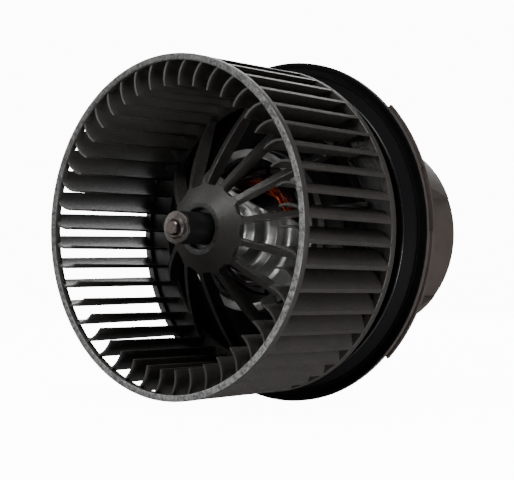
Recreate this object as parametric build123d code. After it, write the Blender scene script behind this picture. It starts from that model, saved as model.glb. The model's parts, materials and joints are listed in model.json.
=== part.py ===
from build123d import *
import os
from math import cos, degrees, radians, sin, sqrt

# Car cabin blower motor: a moulded fan wheel on the shaft of a direct-current motor,
# held by a moulded holder with a round flange, a soft seal and a rear cup.
# The shaft lies along Y, the wheel's open end faces -Y, and Z is up.
# The origin is on the shaft's axis, in the front face of the flange plate.

# Shaft
shaft_radius = 3.25
shoulder_step = 0.75
shaft_chamfer = 0.5
shaft_tip_reach = 3.7
shaft_end_gap = 0.5
seat_gap = 0.02
running_gap = 0.03
end_play = 0.3

# Fan wheel
wheel_radius = 75.0
wheel_taper = 1.0
wheel_length = 64.6
wheel_to_plate = 17.4
blade_count = 46
blade_depth = 13.5
blade_thickness = 1.1
blade_arc_radius = 12.4
blade_inner_lean = 12.0
blade_setback = 0.8
front_ring_depth = 3.0
front_ring_length = 3.6
ring_chamfer = 0.8
rear_ring_length = 3.5
rear_ring_depth = 3.5
rear_disc_thickness = 2.0
rear_disc_width = 11.0

# Spokes of the wheel
spoke_count = 13
spoke_phase = 10.5
spoke_thickness = 2.7
spoke_height = 6.0
spoke_bulge = 2.7
spoke_end_setback = 1.6
spoke_root_height = 5.5
spoke_sink = 0.1
spoke_overlap = 2.0

# Hub of the wheel, with its sleeve and cap
sleeve_wall = 3.95
sleeve_reach = 14.1
sleeve_chamfer = 0.4
hub_wall = 3.2
hub_length = 13.5
hub_to_boss = 3.0
collar_groove = 1.85
collar_wall = 2.75
collar_recess = 3.0
collar_round = 0.6
dome_width = 7.7
dome_drop = 4.3
dome_skirt = 1.3
dome_thickness = 2.4
slot_depth = 1.3
slot_corner_radius = 1.2
slot_side_gap = 0.1
cap_thickness = 0.9
cap_boss_wall = 1.45
cap_boss_height = 1.1

# Bearings and washers
bush_wall = 4.75
bush_length = 8.0
bush_end_round = 1.5
front_clip_width = 2.8
rear_clip_width = 1.0
clip_thickness = 0.7
clip_finger_count = 6
clip_finger_gap = 1.6
washer_width = 3.25
washer_thickness = 0.8

# Motor can
motor_radius = 37.0
motor_reach = 29.0
can_wall = 2.0
can_round = 3.0
can_boss_length = 9.0
can_window_margin = 2.0

# Front end plate and the tabs that hold it
end_plate_thickness = 1.2
plate_drop = 2.0
plate_tower_step = 7.5
plate_tower_height = 8.0
plate_flat_width = 5.5
plate_boss_height = 7.0
plate_hole_gap = 1.35
plate_strap_half_width = 14.0
plate_strap_tilt = 21.8
plate_rim_width = 5.5
plate_locator_reach = 2.5
tab_count = 4
tab_width = 8.0
tab_reach = 4.5
tab_thickness = 1.0

# Armature and magnets
core_setback = 13.0
core_length = 42.0
core_slot_count = 12
core_slot_opening = 2.4
core_slot_width = 6.4
core_hub_wall = 10.0
core_tip_thickness = 1.8
winding_overhang_front = 9.0
winding_overhang_rear = 7.0
winding_bore_wall = 5.0
winding_gap = 0.3
commutator_wall = 7.0
commutator_length = 12.5
commutator_gap = 3.0
commutator_bars = 12
commutator_groove = 0.7
air_gap = 0.7
magnet_thickness = 5.45
magnet_arc = 138.0
magnet_overhang = 2.0
magnet_gap = 0.05
leaf_thickness = 0.8
leaf_length = 30.0
leaf_leg = 4.0

# Brush gear
card_thickness = 2.0
card_overlap = 1.5
card_bore_gap = 2.0
card_gap = 0.2
brush_width = 5.0
brush_height = 8.0
brush_air = 0.08
brush_side_gap = 0.1
brush_travel = 3.0
box_wall = 0.8
box_start_gap = 2.0
box_end_gap = 2.9
spring_rest = 5.2
spring_radius = 1.8
spring_wire = 0.55
spring_turns = 5
choke_radius = 2.6
choke_wire = 0.6
choke_length = 13.0
choke_wound_share = 0.7
choke_spread = 11.0
choke_inset = 4.0
choke_gap = 0.4

# Motor holder: flange, spigot, cup and ribs
rim_radius = 79.1
rim_wall = 1.4
rim_height = 1.5
rim_land = 0.5
rim_back_step = 1.0
plate_thickness = 2.4
spigot_reach = 6.6
spigot_taper = 3.4
spigot_land = 1.0
spigot_lip = 1.6
lug_reach = 1.1
lug_thickness = 1.6
lug_half_angle = 45.0
lock_slot_arc = 21.0
lock_slot_depth = 2.2
lock_slot_width = 1.6
cone_inset = 3.9
cone_step = 0.6
cone_wall = 2.4
cup_wall = 3.0
cup_end_wall = 3.0
cup_edge_round = 1.2
collar_reach = 6.0
recess_count = 3
recess_arc = 63.0
recess_centre = -9.0
rib_bays = 5
rib_arc = 2.2
bay_land = 0.5
bay_floor = 1.5

# Seal between spigot and rim
seal_width = 4.2
seal_gap = 0.05
seal_base = 0.6
seal_ridge_height = 1.2
seal_ridge_width = 0.9
seal_ridge_count = 2

# Isolators
isolator_thickness = 5.6
isolator_length = 9.0
isolator_rib_count = 12
isolator_relief = 1.0
isolator_relief_width = 10.0
rear_pad_gap = 2.0
rear_pad_width = 6.0
rear_pad_length = 11.0

# Connector
socket_x = -22.0
socket_z = -13.0
socket_margin_x = 3.1
socket_margin_z = 1.6
socket_wall = 1.8
socket_reach = 10.0
terminal_pitch = 8.0
terminal_width = 6.3
terminal_thickness = 0.8
terminal_setback = 2.0
terminal_gap = 0.1

# Radii, from the shaft outwards
shoulder_radius = shaft_radius + shoulder_step
bush_radius = shaft_radius + bush_wall
washer_radius = shaft_radius + washer_width
sleeve_radius = shaft_radius + sleeve_wall
cap_boss_radius = shaft_radius + cap_boss_wall
hub_radius = sleeve_radius + hub_wall
recess_radius = sleeve_radius + collar_groove
collar_radius = recess_radius + collar_wall
dome_radius = collar_radius + dome_width
skirt_radius = dome_radius + dome_skirt
slot_start = skirt_radius - slot_depth
slot_half_width = slot_start * sin(radians(180 / spoke_count)) - spoke_thickness / 2 - slot_side_gap
plate_shaft_hole = shaft_radius + plate_hole_gap
plate_boss_radius = bush_radius + front_clip_width + end_plate_thickness
plate_tower_radius = plate_boss_radius + plate_tower_step
plate_flat_radius = plate_tower_radius + plate_flat_width
can_boss_radius = bush_radius + rear_clip_width + can_wall
commutator_radius = shoulder_radius + commutator_wall
card_bore = commutator_radius + card_bore_gap
rear_pad_bore = can_boss_radius + rear_pad_gap
rear_pad_radius = rear_pad_bore + rear_pad_width

# Radii, from the motor can inwards and outwards
can_bore = motor_radius - can_wall
magnet_radius = can_bore - magnet_gap
core_radius = magnet_radius - magnet_thickness - air_gap
winding_radius = core_radius - core_tip_thickness
core_slot_depth = winding_radius - shoulder_radius - core_hub_wall
winding_bore = shoulder_radius + winding_bore_wall
cup_bore = motor_radius + isolator_thickness
cup_radius = cup_bore + cup_wall
cone_rear_radius = cup_radius + cone_step

# Radii of the flange and the wheel
spigot_seat_radius = rim_radius - rim_wall - seal_width - 2 * seal_gap
spigot_front_radius = spigot_seat_radius - spigot_taper
cone_front_radius = spigot_seat_radius - cone_inset
lug_radius = rim_radius + lug_reach
blade_inner_radius = wheel_radius - blade_depth
rear_radius = wheel_radius - wheel_taper
rear_ring_bore = rear_radius - rear_ring_depth
rear_disc_bore = rear_ring_bore - rear_disc_width

# Stations along the shaft, front to rear
wheel_rear = -wheel_to_plate
wheel_front = wheel_rear - wheel_length
motor_front = -motor_reach
end_plate_front = motor_front - end_plate_thickness
tower_front = motor_front - plate_drop - plate_tower_height
boss_front = tower_front - plate_boss_height
bush_front = boss_front + end_plate_thickness
bush_rear = bush_front + bush_length
hub_rear = boss_front - hub_to_boss
hub_front = hub_rear - hub_length
sleeve_front = hub_front - sleeve_reach
shaft_tip = sleeve_front - shaft_tip_reach
shoulder_front = bush_rear + end_play + washer_thickness
core_front = motor_front + core_setback
core_rear = core_front + core_length
commutator_front = core_rear + winding_overhang_rear + commutator_gap
card_front = commutator_front + commutator_length - card_overlap
card_rear = card_front + card_thickness
choke_room = 2 * (choke_radius + choke_gap)
choke_height = (card_bore + can_bore) / 2 - choke_inset
motor_rear = card_rear + choke_room + can_wall
rear_bush_rear = motor_rear + can_boss_length - can_wall
rear_bush_front = rear_bush_rear - bush_length
shoulder_rear = rear_bush_front - end_play - washer_thickness
shaft_rear = rear_bush_rear - shaft_end_gap
cup_inner_end = motor_rear + rear_pad_length
cup_length = cup_inner_end + cup_end_wall
socket_rear = cup_length + socket_reach

# The connector's socket
socket_width = terminal_pitch + terminal_thickness + 2 * socket_margin_x
socket_height = terminal_width + 2 * socket_margin_z


def profile(points):
    """A closed outline in radius and station along the shaft."""
    return make_face(Polyline(*[(r, y) for r, y in points], close=True))


def turned(points, start=0.0, arc=360.0):
    """A body turned about the shaft, from the angle start, counted from +X towards +Z."""
    face = Rot(0, -(start + arc), 0) * profile(points)
    return revolve(face, Axis.Y, arc)


def slab(sketch, front, rear):
    """A sketch seen from the front, given thickness between two stations."""
    return extrude(Plane.XZ.offset(-rear) * sketch, rear - front)


def around(shape, count, first=0.0):
    """Copies of a shape spaced evenly round the shaft."""
    return [Rot(0, -(first + k * 360 / count), 0) * shape for k in range(count)]


def ring(outer, inner, front, rear):
    return turned([(inner, front), (outer, front), (outer, rear), (inner, rear)])


def disc(radius, front, rear):
    return turned([(0, front), (radius, front), (radius, rear), (0, rear)])


def block(x0, x1, y0, y1, z0, z1):
    centre = Pos((x0 + x1) / 2, (y0 + y1) / 2, (z0 + z1) / 2)
    return centre * Box(x1 - x0, y1 - y0, z1 - z0)


# Fan wheel

def blade():
    """One forward-curved blade: an arc in section, cut to the wheel's tapered envelope."""
    lean = radians(blade_inner_lean)
    centre_x = blade_inner_radius + blade_arc_radius * sin(lean)
    centre_z = -blade_arc_radius * cos(lean)
    band = Circle(blade_arc_radius + blade_thickness / 2) - Circle(blade_arc_radius - blade_thickness / 2)
    band = Pos(centre_x, centre_z) * band
    reach = 2 * blade_arc_radius
    upper = Pos(centre_x, centre_z + reach / 2) * Rectangle(2 * reach, reach)
    front = wheel_front + blade_setback
    curved = slab(band & upper, front, wheel_rear - rear_disc_thickness / 2)
    envelope = turned([(blade_inner_radius, wheel_front), (wheel_radius, wheel_front),
                       (rear_radius, wheel_rear), (blade_inner_radius, wheel_rear)])
    return curved & envelope


def front_ring():
    inner = wheel_radius - front_ring_depth
    rear = wheel_front + front_ring_length
    return turned([(inner + ring_chamfer, wheel_front), (wheel_radius, wheel_front),
                   (wheel_radius, rear), (inner, rear), (inner, wheel_front + ring_chamfer)])


def rear_ring():
    front = wheel_rear - rear_ring_length
    disc_front = wheel_rear - rear_disc_thickness
    return turned([(rear_ring_bore, front), (rear_radius, front), (rear_radius, wheel_rear),
                   (rear_disc_bore, wheel_rear), (rear_disc_bore, disc_front), (rear_ring_bore, disc_front)])


def dome_station(radius):
    """Station of the dome's front surface at a radius."""
    return hub_front + dome_drop * (radius - collar_radius) / dome_width


def spoke():
    """One rib of the umbrella, from the dome to the rear disc."""
    inner = skirt_radius - spoke_overlap
    outer = rear_disc_bore + spoke_overlap
    start = dome_station(inner) + spoke_sink
    end = wheel_rear - rear_disc_thickness - spoke_end_setback
    root = start + spoke_root_height
    middle = ((inner + outer) / 2, (start + end) / 2 - spoke_bulge)
    back = ((inner + outer) / 2 - spoke_overlap, middle[1] + spoke_height)
    edge = ThreePointArc((inner, start), middle, (outer, end))
    rear = ThreePointArc((outer, wheel_rear), back, (inner, root))
    outline = edge + Line((outer, end), (outer, wheel_rear)) + rear + Line((inner, root), (inner, start))
    return extrude(make_face(outline), spoke_thickness / 2, both=True)


def hub():
    """The dome, its collar with a recess, and the boss that sits on the sleeve."""
    bore = sleeve_radius + seat_gap
    edge = dome_station(skirt_radius)
    floor = hub_front + collar_recess
    web = floor + collar_round + dome_thickness
    points = [(recess_radius, hub_front + collar_round), (recess_radius + collar_round, hub_front),
              (collar_radius - collar_round, hub_front), (collar_radius, hub_front + collar_round),
              (skirt_radius, edge), (skirt_radius, edge + dome_thickness),
              (collar_radius, web - collar_round), (hub_radius, web), (hub_radius, hub_rear),
              (bore, hub_rear), (bore, floor), (recess_radius, floor)]
    reach = 2 * slot_depth
    gap = RectangleRounded(reach, 2 * slot_half_width, slot_corner_radius)
    cut = slab(Pos(slot_start + reach / 2, 0) * gap, hub_front, hub_rear)
    return turned(points) - around(cut, spoke_count, spoke_phase + 180 / spoke_count)


def fan_wheel():
    wheel = hub()
    return wheel.fuse(*around(spoke(), spoke_count, spoke_phase), rear_ring(),
                      *around(blade(), blade_count), front_ring())


# Shaft and what sits on its front end

def motor_shaft():
    c = shaft_chamfer
    return turned([(0, shaft_tip), (shaft_radius - c, shaft_tip), (shaft_radius, shaft_tip + c),
                   (shaft_radius, shoulder_front), (shoulder_radius, shoulder_front),
                   (shoulder_radius, shoulder_rear), (shaft_radius, shoulder_rear),
                   (shaft_radius, shaft_rear - c), (shaft_radius - c, shaft_rear), (0, shaft_rear)])


def hub_sleeve():
    c = sleeve_chamfer
    bore = shaft_radius + seat_gap
    return turned([(bore, sleeve_front), (sleeve_radius - c, sleeve_front), (sleeve_radius, sleeve_front + c),
                   (sleeve_radius, hub_rear), (bore, hub_rear)])


def retaining_cap():
    """A push-on disc of sheet with a raised collar that grips the shaft."""
    bore = shaft_radius + seat_gap
    front = sleeve_front - cap_thickness
    edge = cap_thickness / 3
    return turned([(bore, front - cap_boss_height), (cap_boss_radius - 2 * edge, front - cap_boss_height),
                   (cap_boss_radius, front), (sleeve_radius - edge, front), (sleeve_radius, front + edge),
                   (sleeve_radius, sleeve_front), (bore, sleeve_front)])


def thrust_washers():
    bore = shaft_radius + seat_gap
    front = ring(washer_radius, bore, bush_rear + end_play, shoulder_front)
    rear = ring(washer_radius, bore, shoulder_rear, rear_bush_front - end_play)
    return Compound(children=[front, rear])


# Bearings

def bush(front):
    """A sintered bush with rounded ends."""
    bore = shaft_radius + running_gap
    rear = front + bush_length
    c = bush_end_round
    return turned([(bore, front), (bush_radius - c, front), (bush_radius, front + c),
                   (bush_radius, rear - c), (bush_radius - c, rear), (bore, rear)])


def bearing_clip(seat_radius, station):
    """A spring washer whose fingers grip the bush inside its seat."""
    outer = seat_radius - seat_gap
    inner = bush_radius + seat_gap
    body = ring(outer, inner, station, station + clip_thickness)
    notch = block((inner + outer) / 2, outer + 1, station - 1, station + clip_thickness + 1,
                  -clip_finger_gap / 2, clip_finger_gap / 2)
    return body - around(notch, clip_finger_count)


# Motor can and its front end plate

def plate_corners():
    """Stations and radii of the end plate's outer skin, rim to boss."""
    step_front = end_plate_front - plate_drop
    bend = end_plate_thickness * 2 / 3
    return [(motor_radius, end_plate_front), (plate_flat_radius + plate_drop, end_plate_front),
            (plate_flat_radius, step_front), (plate_tower_radius, step_front),
            (plate_tower_radius, tower_front + bend), (plate_tower_radius - bend, tower_front),
            (plate_boss_radius, tower_front), (plate_boss_radius, boss_front + bend),
            (plate_boss_radius - bend, boss_front), (plate_shaft_hole, boss_front)]


def front_end_plate():
    """The stamped plate: a tower and a bearing boss on a strap, and a rim that centres it in the can."""
    t = end_plate_thickness
    locator = can_bore - seat_gap
    locator_rear = motor_front + plate_locator_reach
    inner = [(plate_shaft_hole, boss_front + t), (plate_boss_radius - t, boss_front + t),
             (plate_boss_radius - t, tower_front + t), (plate_tower_radius - t, tower_front + t),
             (plate_tower_radius - t, end_plate_front - plate_drop + t),
             (plate_flat_radius, end_plate_front - plate_drop + t),
             (plate_flat_radius + plate_drop, motor_front), (locator - t, motor_front),
             (locator - t, locator_rear), (locator, locator_rear), (locator, motor_front),
             (motor_radius, motor_front)]
    plate = turned(plate_corners() + inner)
    window = Circle(motor_radius - plate_rim_width) - Circle(plate_tower_radius + t / 2)
    side = Pos(0, plate_strap_half_width + motor_radius / 2) * Rectangle(2 * motor_radius, motor_radius)
    opening = slab(window & side, end_plate_front - plate_drop - 1, motor_front + 1)
    tilted = Rot(0, plate_strap_tilt, 0)
    plate -= [tilted * opening, tilted * Rot(0, 180, 0) * opening]
    notch = block(motor_radius - can_wall, motor_radius + 1, end_plate_front - 1, motor_front + 1,
                  -tab_width / 2 - seat_gap, tab_width / 2 + seat_gap)
    return plate - around(notch, tab_count, tab_phase())


def tab_phase():
    """The tabs stand between the strap and its windows."""
    return 180 / tab_count - plate_strap_tilt


def terminal_window():
    """The opening in the can's rear wall that the connector blades pass through."""
    half_x = (terminal_pitch + terminal_thickness) / 2 + can_window_margin
    half_z = terminal_width / 2 + can_window_margin
    return block(socket_x - half_x, socket_x + half_x, motor_rear - can_wall - 1, motor_rear + 1,
                 socket_z - half_z, socket_z + half_z)


def motor_can():
    """A drawn can with a closed rear end, a bearing boss, and tabs bent over the end plate."""
    w = can_wall
    boss_rear = motor_rear + can_boss_length
    can = turned([(can_bore, motor_front), (motor_radius, motor_front),
                  (motor_radius, motor_rear - can_round), (motor_radius - can_round, motor_rear),
                  (can_boss_radius, motor_rear), (can_boss_radius, boss_rear - w / 2),
                  (can_boss_radius - w / 2, boss_rear),
                  (0, boss_rear), (0, boss_rear - w), (can_boss_radius - w, boss_rear - w),
                  (can_boss_radius - w, motor_rear - w), (can_bore - can_round + w, motor_rear - w),
                  (can_bore, motor_rear - can_round)])
    # The tab's flat back stays inside the can's curve
    outer = sqrt(motor_radius ** 2 - (tab_width / 2) ** 2)
    stem = block(can_bore, outer, end_plate_front, motor_front + 1, -tab_width / 2, tab_width / 2)
    bend = block(outer - tab_reach, outer, end_plate_front - tab_thickness, end_plate_front,
                 -tab_width / 2, tab_width / 2)
    can = can.fuse(*around(stem + bend, tab_count, tab_phase()))
    return can - terminal_window()


# Armature

def core_slot():
    """One winding slot, open at the rim through a narrow mouth."""
    body = Pos(winding_radius - core_slot_depth / 2, 0) * SlotOverall(core_slot_depth, core_slot_width)
    mouth = Pos(core_radius, 0) * Rectangle(core_slot_depth, core_slot_opening)
    return body + mouth


def armature_core():
    """A stack of slotted plates, pressed on the shaft."""
    plates = ring(core_radius, shoulder_radius + seat_gap, core_front, core_rear)
    slot = slab(core_slot(), core_front - 1, core_rear + 1)
    return plates - around(slot, core_slot_count)


def armature_windings():
    """Copper: a bundle in each slot, and the end turns that join them at both ends."""
    section = SlotOverall(core_slot_depth - 2 * winding_gap, core_slot_width - 2 * winding_gap)
    bundle = slab(Pos(winding_radius - core_slot_depth / 2, 0) * section, core_front - 2, core_rear + 2)
    bundles = around(bundle, core_slot_count)
    ends = []
    for near, far in ((core_front - seat_gap, core_front - winding_overhang_front),
                      (core_rear + seat_gap, core_rear + winding_overhang_rear)):
        step = (far - near) / 4
        round_off = abs(step) * 1.5
        ends.append(turned([(winding_bore, near), (winding_radius, near), (winding_radius, near + 2 * step),
                            (winding_radius - round_off, far), (winding_bore + round_off, far),
                            (winding_bore, near + 3 * step)]))
    return ends[0].fuse(ends[1], *bundles)


def commutator():
    rear = commutator_front + commutator_length
    body = ring(commutator_radius, shoulder_radius + seat_gap, commutator_front, rear)
    groove = block(commutator_radius - 2 * commutator_groove, commutator_radius + 1,
                   commutator_front - 1, rear + 1, -commutator_groove / 2, commutator_groove / 2)
    return body - around(groove, commutator_bars)


# Magnets

def field_magnet(centre):
    inner = core_radius + air_gap
    front = core_front - magnet_overhang
    rear = core_rear + magnet_overhang
    return turned([(inner, front), (magnet_radius, front), (magnet_radius, rear), (inner, rear)],
                  centre - magnet_arc / 2, magnet_arc)


def magnet_springs():
    """Bent leaves between the magnets' edges, one on each side."""
    outer = magnet_radius
    front = (core_front + core_rear - leaf_length) / 2
    gap_arc = 180 - magnet_arc
    leaf_arc = gap_arc - degrees(2 * magnet_gap / outer)
    leg_arc = degrees(leaf_thickness / outer)
    springs = []
    for centre in (0, 180):
        start = centre - leaf_arc / 2
        back = turned([(outer - leaf_thickness, front), (outer, front), (outer, front + leaf_length),
                       (outer - leaf_thickness, front + leaf_length)], start, leaf_arc)
        leg = [(outer - leaf_leg, front), (outer, front), (outer, front + leaf_length),
               (outer - leaf_leg, front + leaf_length)]
        end = start + leaf_arc - leg_arc
        springs.append(back.fuse(turned(leg, start, leg_arc), turned(leg, end, leg_arc)))
    return Compound(children=springs)


# Brush gear; the brushes slide along Z, one above the commutator and one below

brush_rear = card_front - box_wall - brush_side_gap
brush_front = brush_rear - brush_height
box_front = brush_front - brush_side_gap - box_wall
brush_start = commutator_radius + brush_air
spring_end = can_bore - box_end_gap - box_wall
spring_space = spring_rest + brush_travel
brush_end = spring_end - spring_space


def brush_card():
    """The insulating plate across the can's rear end that carries the brush gear."""
    return ring(can_bore - card_gap, card_bore, card_front, card_rear)


def brush_box():
    """A folded sheet tube, closed at its outer end, on the card's front face."""
    half = brush_width / 2 + brush_side_gap
    bottom = commutator_radius + box_start_gap
    outside = block(-half - box_wall, half + box_wall, box_front, card_front, bottom, spring_end + box_wall)
    inside = block(-half, half, box_front + box_wall, card_front - box_wall, bottom - 1, spring_end)
    return outside - inside


def brush():
    """A carbon block whose end is hollowed to the commutator's curve."""
    body = block(-brush_width / 2, brush_width / 2, brush_front, brush_rear, commutator_radius - 1, brush_end)
    return body - disc(brush_start, brush_front - 1, brush_rear + 1)


def brush_spring():
    """A coil spring between the brush and the closed end of its box."""
    span = spring_space - spring_wire - 2 * brush_side_gap
    path = Helix(pitch=span / spring_turns, height=span, radius=spring_radius)
    start = path @ 0
    section = Plane(origin=start, z_dir=path % 0) * Circle(spring_wire / 2)
    coil = sweep(section, path=path)
    height = brush_end + spring_wire / 2 + brush_side_gap
    return Pos(0, (brush_front + brush_rear) / 2, height) * coil


def mirrored(shape):
    """The same piece on the other side of the shaft."""
    return Rot(0, 180, 0) * shape


def suppression_chokes():
    """Two wound rods on the card's rear face."""
    station = card_rear + choke_radius + seat_gap
    rods = []
    for side in (-1, 1):
        rod = Rot(0, 90, 0) * Cylinder(choke_radius - choke_wire, choke_length)
        coil = Rot(0, 90, 0) * Cylinder(choke_radius, choke_length * choke_wound_share)
        rods.append(Pos(side * choke_spread, station, choke_height) * (rod + coil))
    return Compound(children=rods)


def connector_terminals():
    """Two flat blades from the brush card to the connector socket."""
    rear = socket_rear - terminal_setback
    blades = []
    for side in (-1, 1):
        x = socket_x + side * terminal_pitch / 2
        blades.append(block(x - terminal_thickness / 2, x + terminal_thickness / 2, card_rear, rear,
                            socket_z - terminal_width / 2, socket_z + terminal_width / 2))
    return Compound(children=blades)


# Motor holder

def cone_at(station):
    """Outer radius of the raised sectors of the cup at a station."""
    share = (station - plate_thickness) / (cup_length - plate_thickness)
    return cone_front_radius + share * (cone_rear_radius - cone_front_radius)


def holder_shell():
    """Flange, spigot and cup before the sectors and bays are cut."""
    lip = spigot_lip
    seat = spigot_seat_radius
    back = rim_radius - rim_back_step
    tip = spigot_front_radius
    trough = rim_radius - rim_wall
    points = [(cup_bore, -collar_reach), (cup_radius, -collar_reach), (cup_radius, 0),
              (seat - lip, 0), (tip - lip, -spigot_reach), (tip, -spigot_reach),
              (seat, -spigot_land), (seat, 0), (trough, 0), (trough, -rim_height),
              (rim_radius, -rim_height), (rim_radius, rim_land), (back, rim_land),
              (back, plate_thickness), (cone_front_radius, plate_thickness),
              (cone_rear_radius, cup_length - cup_edge_round),
              (cone_rear_radius - cup_edge_round, cup_length),
              (0, cup_length), (0, cup_inner_end), (cup_bore, cup_inner_end)]
    return turned(points)


def side_recess():
    """The sector where the cup is a plain cylinder instead of a cone."""
    far = cone_front_radius + 1
    return turned([(cup_radius, plate_thickness), (far, plate_thickness),
                   (far, cup_length + 1), (cup_radius, cup_length + 1)],
                  recess_centre - recess_arc / 2, recess_arc)


def rib_bay():
    """One hollow between two ribs inside a raised sector, open to the front."""
    raised = 360 / recess_count - recess_arc
    bay = (raised - rib_arc) / rib_bays
    inner = cup_radius + bay_land
    front_outer = cone_at(plate_thickness) - cone_wall
    fall = (cone_front_radius - cone_rear_radius) / (cup_length - plate_thickness)
    depth = (front_outer - inner - bay_floor) / fall
    start = recess_centre + recess_arc / 2 + rib_arc
    tool = turned([(inner, -1), (front_outer, -1), (front_outer, plate_thickness),
                   (inner + bay_floor, plate_thickness + depth), (inner, plate_thickness + depth)],
                  start, bay - rib_arc)
    return [Rot(0, -k * bay, 0) * tool for k in range(rib_bays)]


def lock_lug():
    """The wider sector behind the rim that the housing's hooks turn over."""
    front = plate_thickness - lug_thickness
    inner = rim_radius - 2 * rim_wall
    return turned([(inner, front), (lug_radius, front), (lug_radius, plate_thickness),
                   (inner, plate_thickness)], -lug_half_angle, 2 * lug_half_angle)


def lock_slot():
    """The narrow slot between the rim and the lug."""
    front = plate_thickness - lug_thickness - lock_slot_width / 2
    rear = front + lock_slot_width
    inner = lug_radius - lock_slot_depth
    return turned([(inner, front), (lug_radius + 1, front), (lug_radius + 1, rear), (inner, rear)],
                  0, lock_slot_arc)


def socket():
    """The connector's collar on the cup's rear face."""
    w = socket_width / 2 + socket_wall
    h = socket_height / 2 + socket_wall
    return block(socket_x - w, socket_x + w, cup_length - 1, socket_rear, socket_z - h, socket_z + h)


def socket_hollow():
    w = socket_width / 2
    h = socket_height / 2
    return block(socket_x - w, socket_x + w, cup_length - 1, socket_rear + 1, socket_z - h, socket_z + h)


def terminal_slots():
    half = terminal_thickness / 2 + terminal_gap
    tall = terminal_width / 2 + terminal_gap
    return [block(socket_x + s * terminal_pitch / 2 - half, socket_x + s * terminal_pitch / 2 + half,
                  cup_inner_end - 1, cup_length + 1, socket_z - tall, socket_z + tall) for s in (-1, 1)]


def motor_holder():
    holder = holder_shell() - around(side_recess(), recess_count)
    for bay in rib_bay():
        holder -= around(bay, recess_count)
    holder = holder.fuse(lock_lug(), socket())
    return holder - [lock_slot(), socket_hollow(), *terminal_slots()]


def flange_seal():
    """A soft ring with raised ridges, seated between the spigot and the rim."""
    inner = spigot_seat_radius + seal_gap
    outer = rim_radius - rim_wall - seal_gap
    seal = ring(outer, inner, -seal_base, 0)
    pitch = (outer - inner - seal_ridge_width) / (seal_ridge_count - 1)
    ridges = []
    for k in range(seal_ridge_count):
        low = inner + k * pitch
        slant = seal_ridge_width / 4
        ridges.append(turned([(low, -seal_base), (low + slant, -seal_ridge_height),
                              (low + seal_ridge_width - slant, -seal_ridge_height),
                              (low + seal_ridge_width, -seal_base)]))
    return seal.fuse(*ridges)


def isolator_front():
    """A rubber ring between can and cup, relieved on its inside."""
    outer = cup_bore - seat_gap
    inner = motor_radius + seat_gap
    body = ring(outer, inner, -collar_reach, isolator_length - collar_reach)
    half = isolator_relief_width / 2
    relief = block(inner - 1, inner + isolator_relief, -collar_reach - 1, isolator_length - collar_reach + 1,
                   -half, half)
    return body - around(relief, isolator_rib_count)


def isolator_rear():
    """A rubber pad ring between the can's rear wall and the cup's end."""
    return ring(rear_pad_radius, rear_pad_bore, motor_rear, cup_inner_end)


def pieces():
    """Every piece by name."""
    return {
        "fan_wheel": fan_wheel(),
        "hub_sleeve": hub_sleeve(),
        "retaining_cap": retaining_cap(),
        "motor_shaft": motor_shaft(),
        "thrust_washers": thrust_washers(),
        "armature_core": armature_core(),
        "armature_windings": armature_windings(),
        "commutator": commutator(),
        "front_bearing": bush(bush_front),
        "rear_bearing": bush(rear_bush_front),
        "front_bearing_clip": bearing_clip(bush_radius + front_clip_width, tower_front),
        "rear_bearing_clip": bearing_clip(bush_radius + rear_clip_width, motor_rear),
        "front_end_plate": front_end_plate(),
        "motor_can": motor_can(),
        "field_magnet_upper": field_magnet(90),
        "field_magnet_lower": field_magnet(270),
        "magnet_springs": magnet_springs(),
        "brush_card": brush_card(),
        "brush_box_upper": brush_box(),
        "brush_box_lower": mirrored(brush_box()),
        "brush_upper": brush(),
        "brush_lower": mirrored(brush()),
        "brush_spring_upper": brush_spring(),
        "brush_spring_lower": mirrored(brush_spring()),
        "suppression_chokes": suppression_chokes(),
        "connector_terminals": connector_terminals(),
        "motor_holder": motor_holder(),
        "flange_seal": flange_seal(),
        "isolator_front": isolator_front(),
        "isolator_rear": isolator_rear(),
    }


os.makedirs("parts", exist_ok=True)
for name, piece in pieces().items():
    export_step(piece, f"parts/{name}.step")
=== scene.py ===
"""Surface detail, finishes and studio for the car cabin blower motor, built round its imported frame."""

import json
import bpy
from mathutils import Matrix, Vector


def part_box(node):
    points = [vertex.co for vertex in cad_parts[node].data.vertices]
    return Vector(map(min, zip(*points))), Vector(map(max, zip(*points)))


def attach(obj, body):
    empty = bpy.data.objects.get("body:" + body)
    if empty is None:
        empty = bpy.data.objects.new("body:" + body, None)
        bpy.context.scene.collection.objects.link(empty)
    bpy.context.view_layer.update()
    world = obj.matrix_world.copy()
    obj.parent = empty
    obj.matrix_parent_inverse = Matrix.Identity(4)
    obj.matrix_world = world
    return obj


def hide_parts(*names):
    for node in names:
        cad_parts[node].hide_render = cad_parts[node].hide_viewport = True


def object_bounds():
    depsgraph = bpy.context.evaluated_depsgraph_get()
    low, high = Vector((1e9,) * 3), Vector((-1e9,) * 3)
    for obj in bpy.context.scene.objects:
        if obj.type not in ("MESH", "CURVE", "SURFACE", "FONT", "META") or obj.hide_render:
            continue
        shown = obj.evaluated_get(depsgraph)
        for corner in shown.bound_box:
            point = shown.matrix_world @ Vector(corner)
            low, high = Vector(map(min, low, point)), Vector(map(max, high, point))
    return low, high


bl_info = {
    "name": "Car Cabin Blower Motor",
    "version": (1, 0, 0),
    "blender": (4, 5, 0),
    "location": "View3D > Sidebar > Blower",
    "description": "Surface detail, finishes and studio for the packed blower motor",
    "category": "Object",
}

from math import acos, asin, atan2, cos, pi, radians, sin, sqrt, tau
from random import Random

import bmesh
import bpy
from bpy.props import FloatProperty, FloatVectorProperty, IntProperty, PointerProperty
from mathutils import Matrix, Quaternion, Vector

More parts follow.
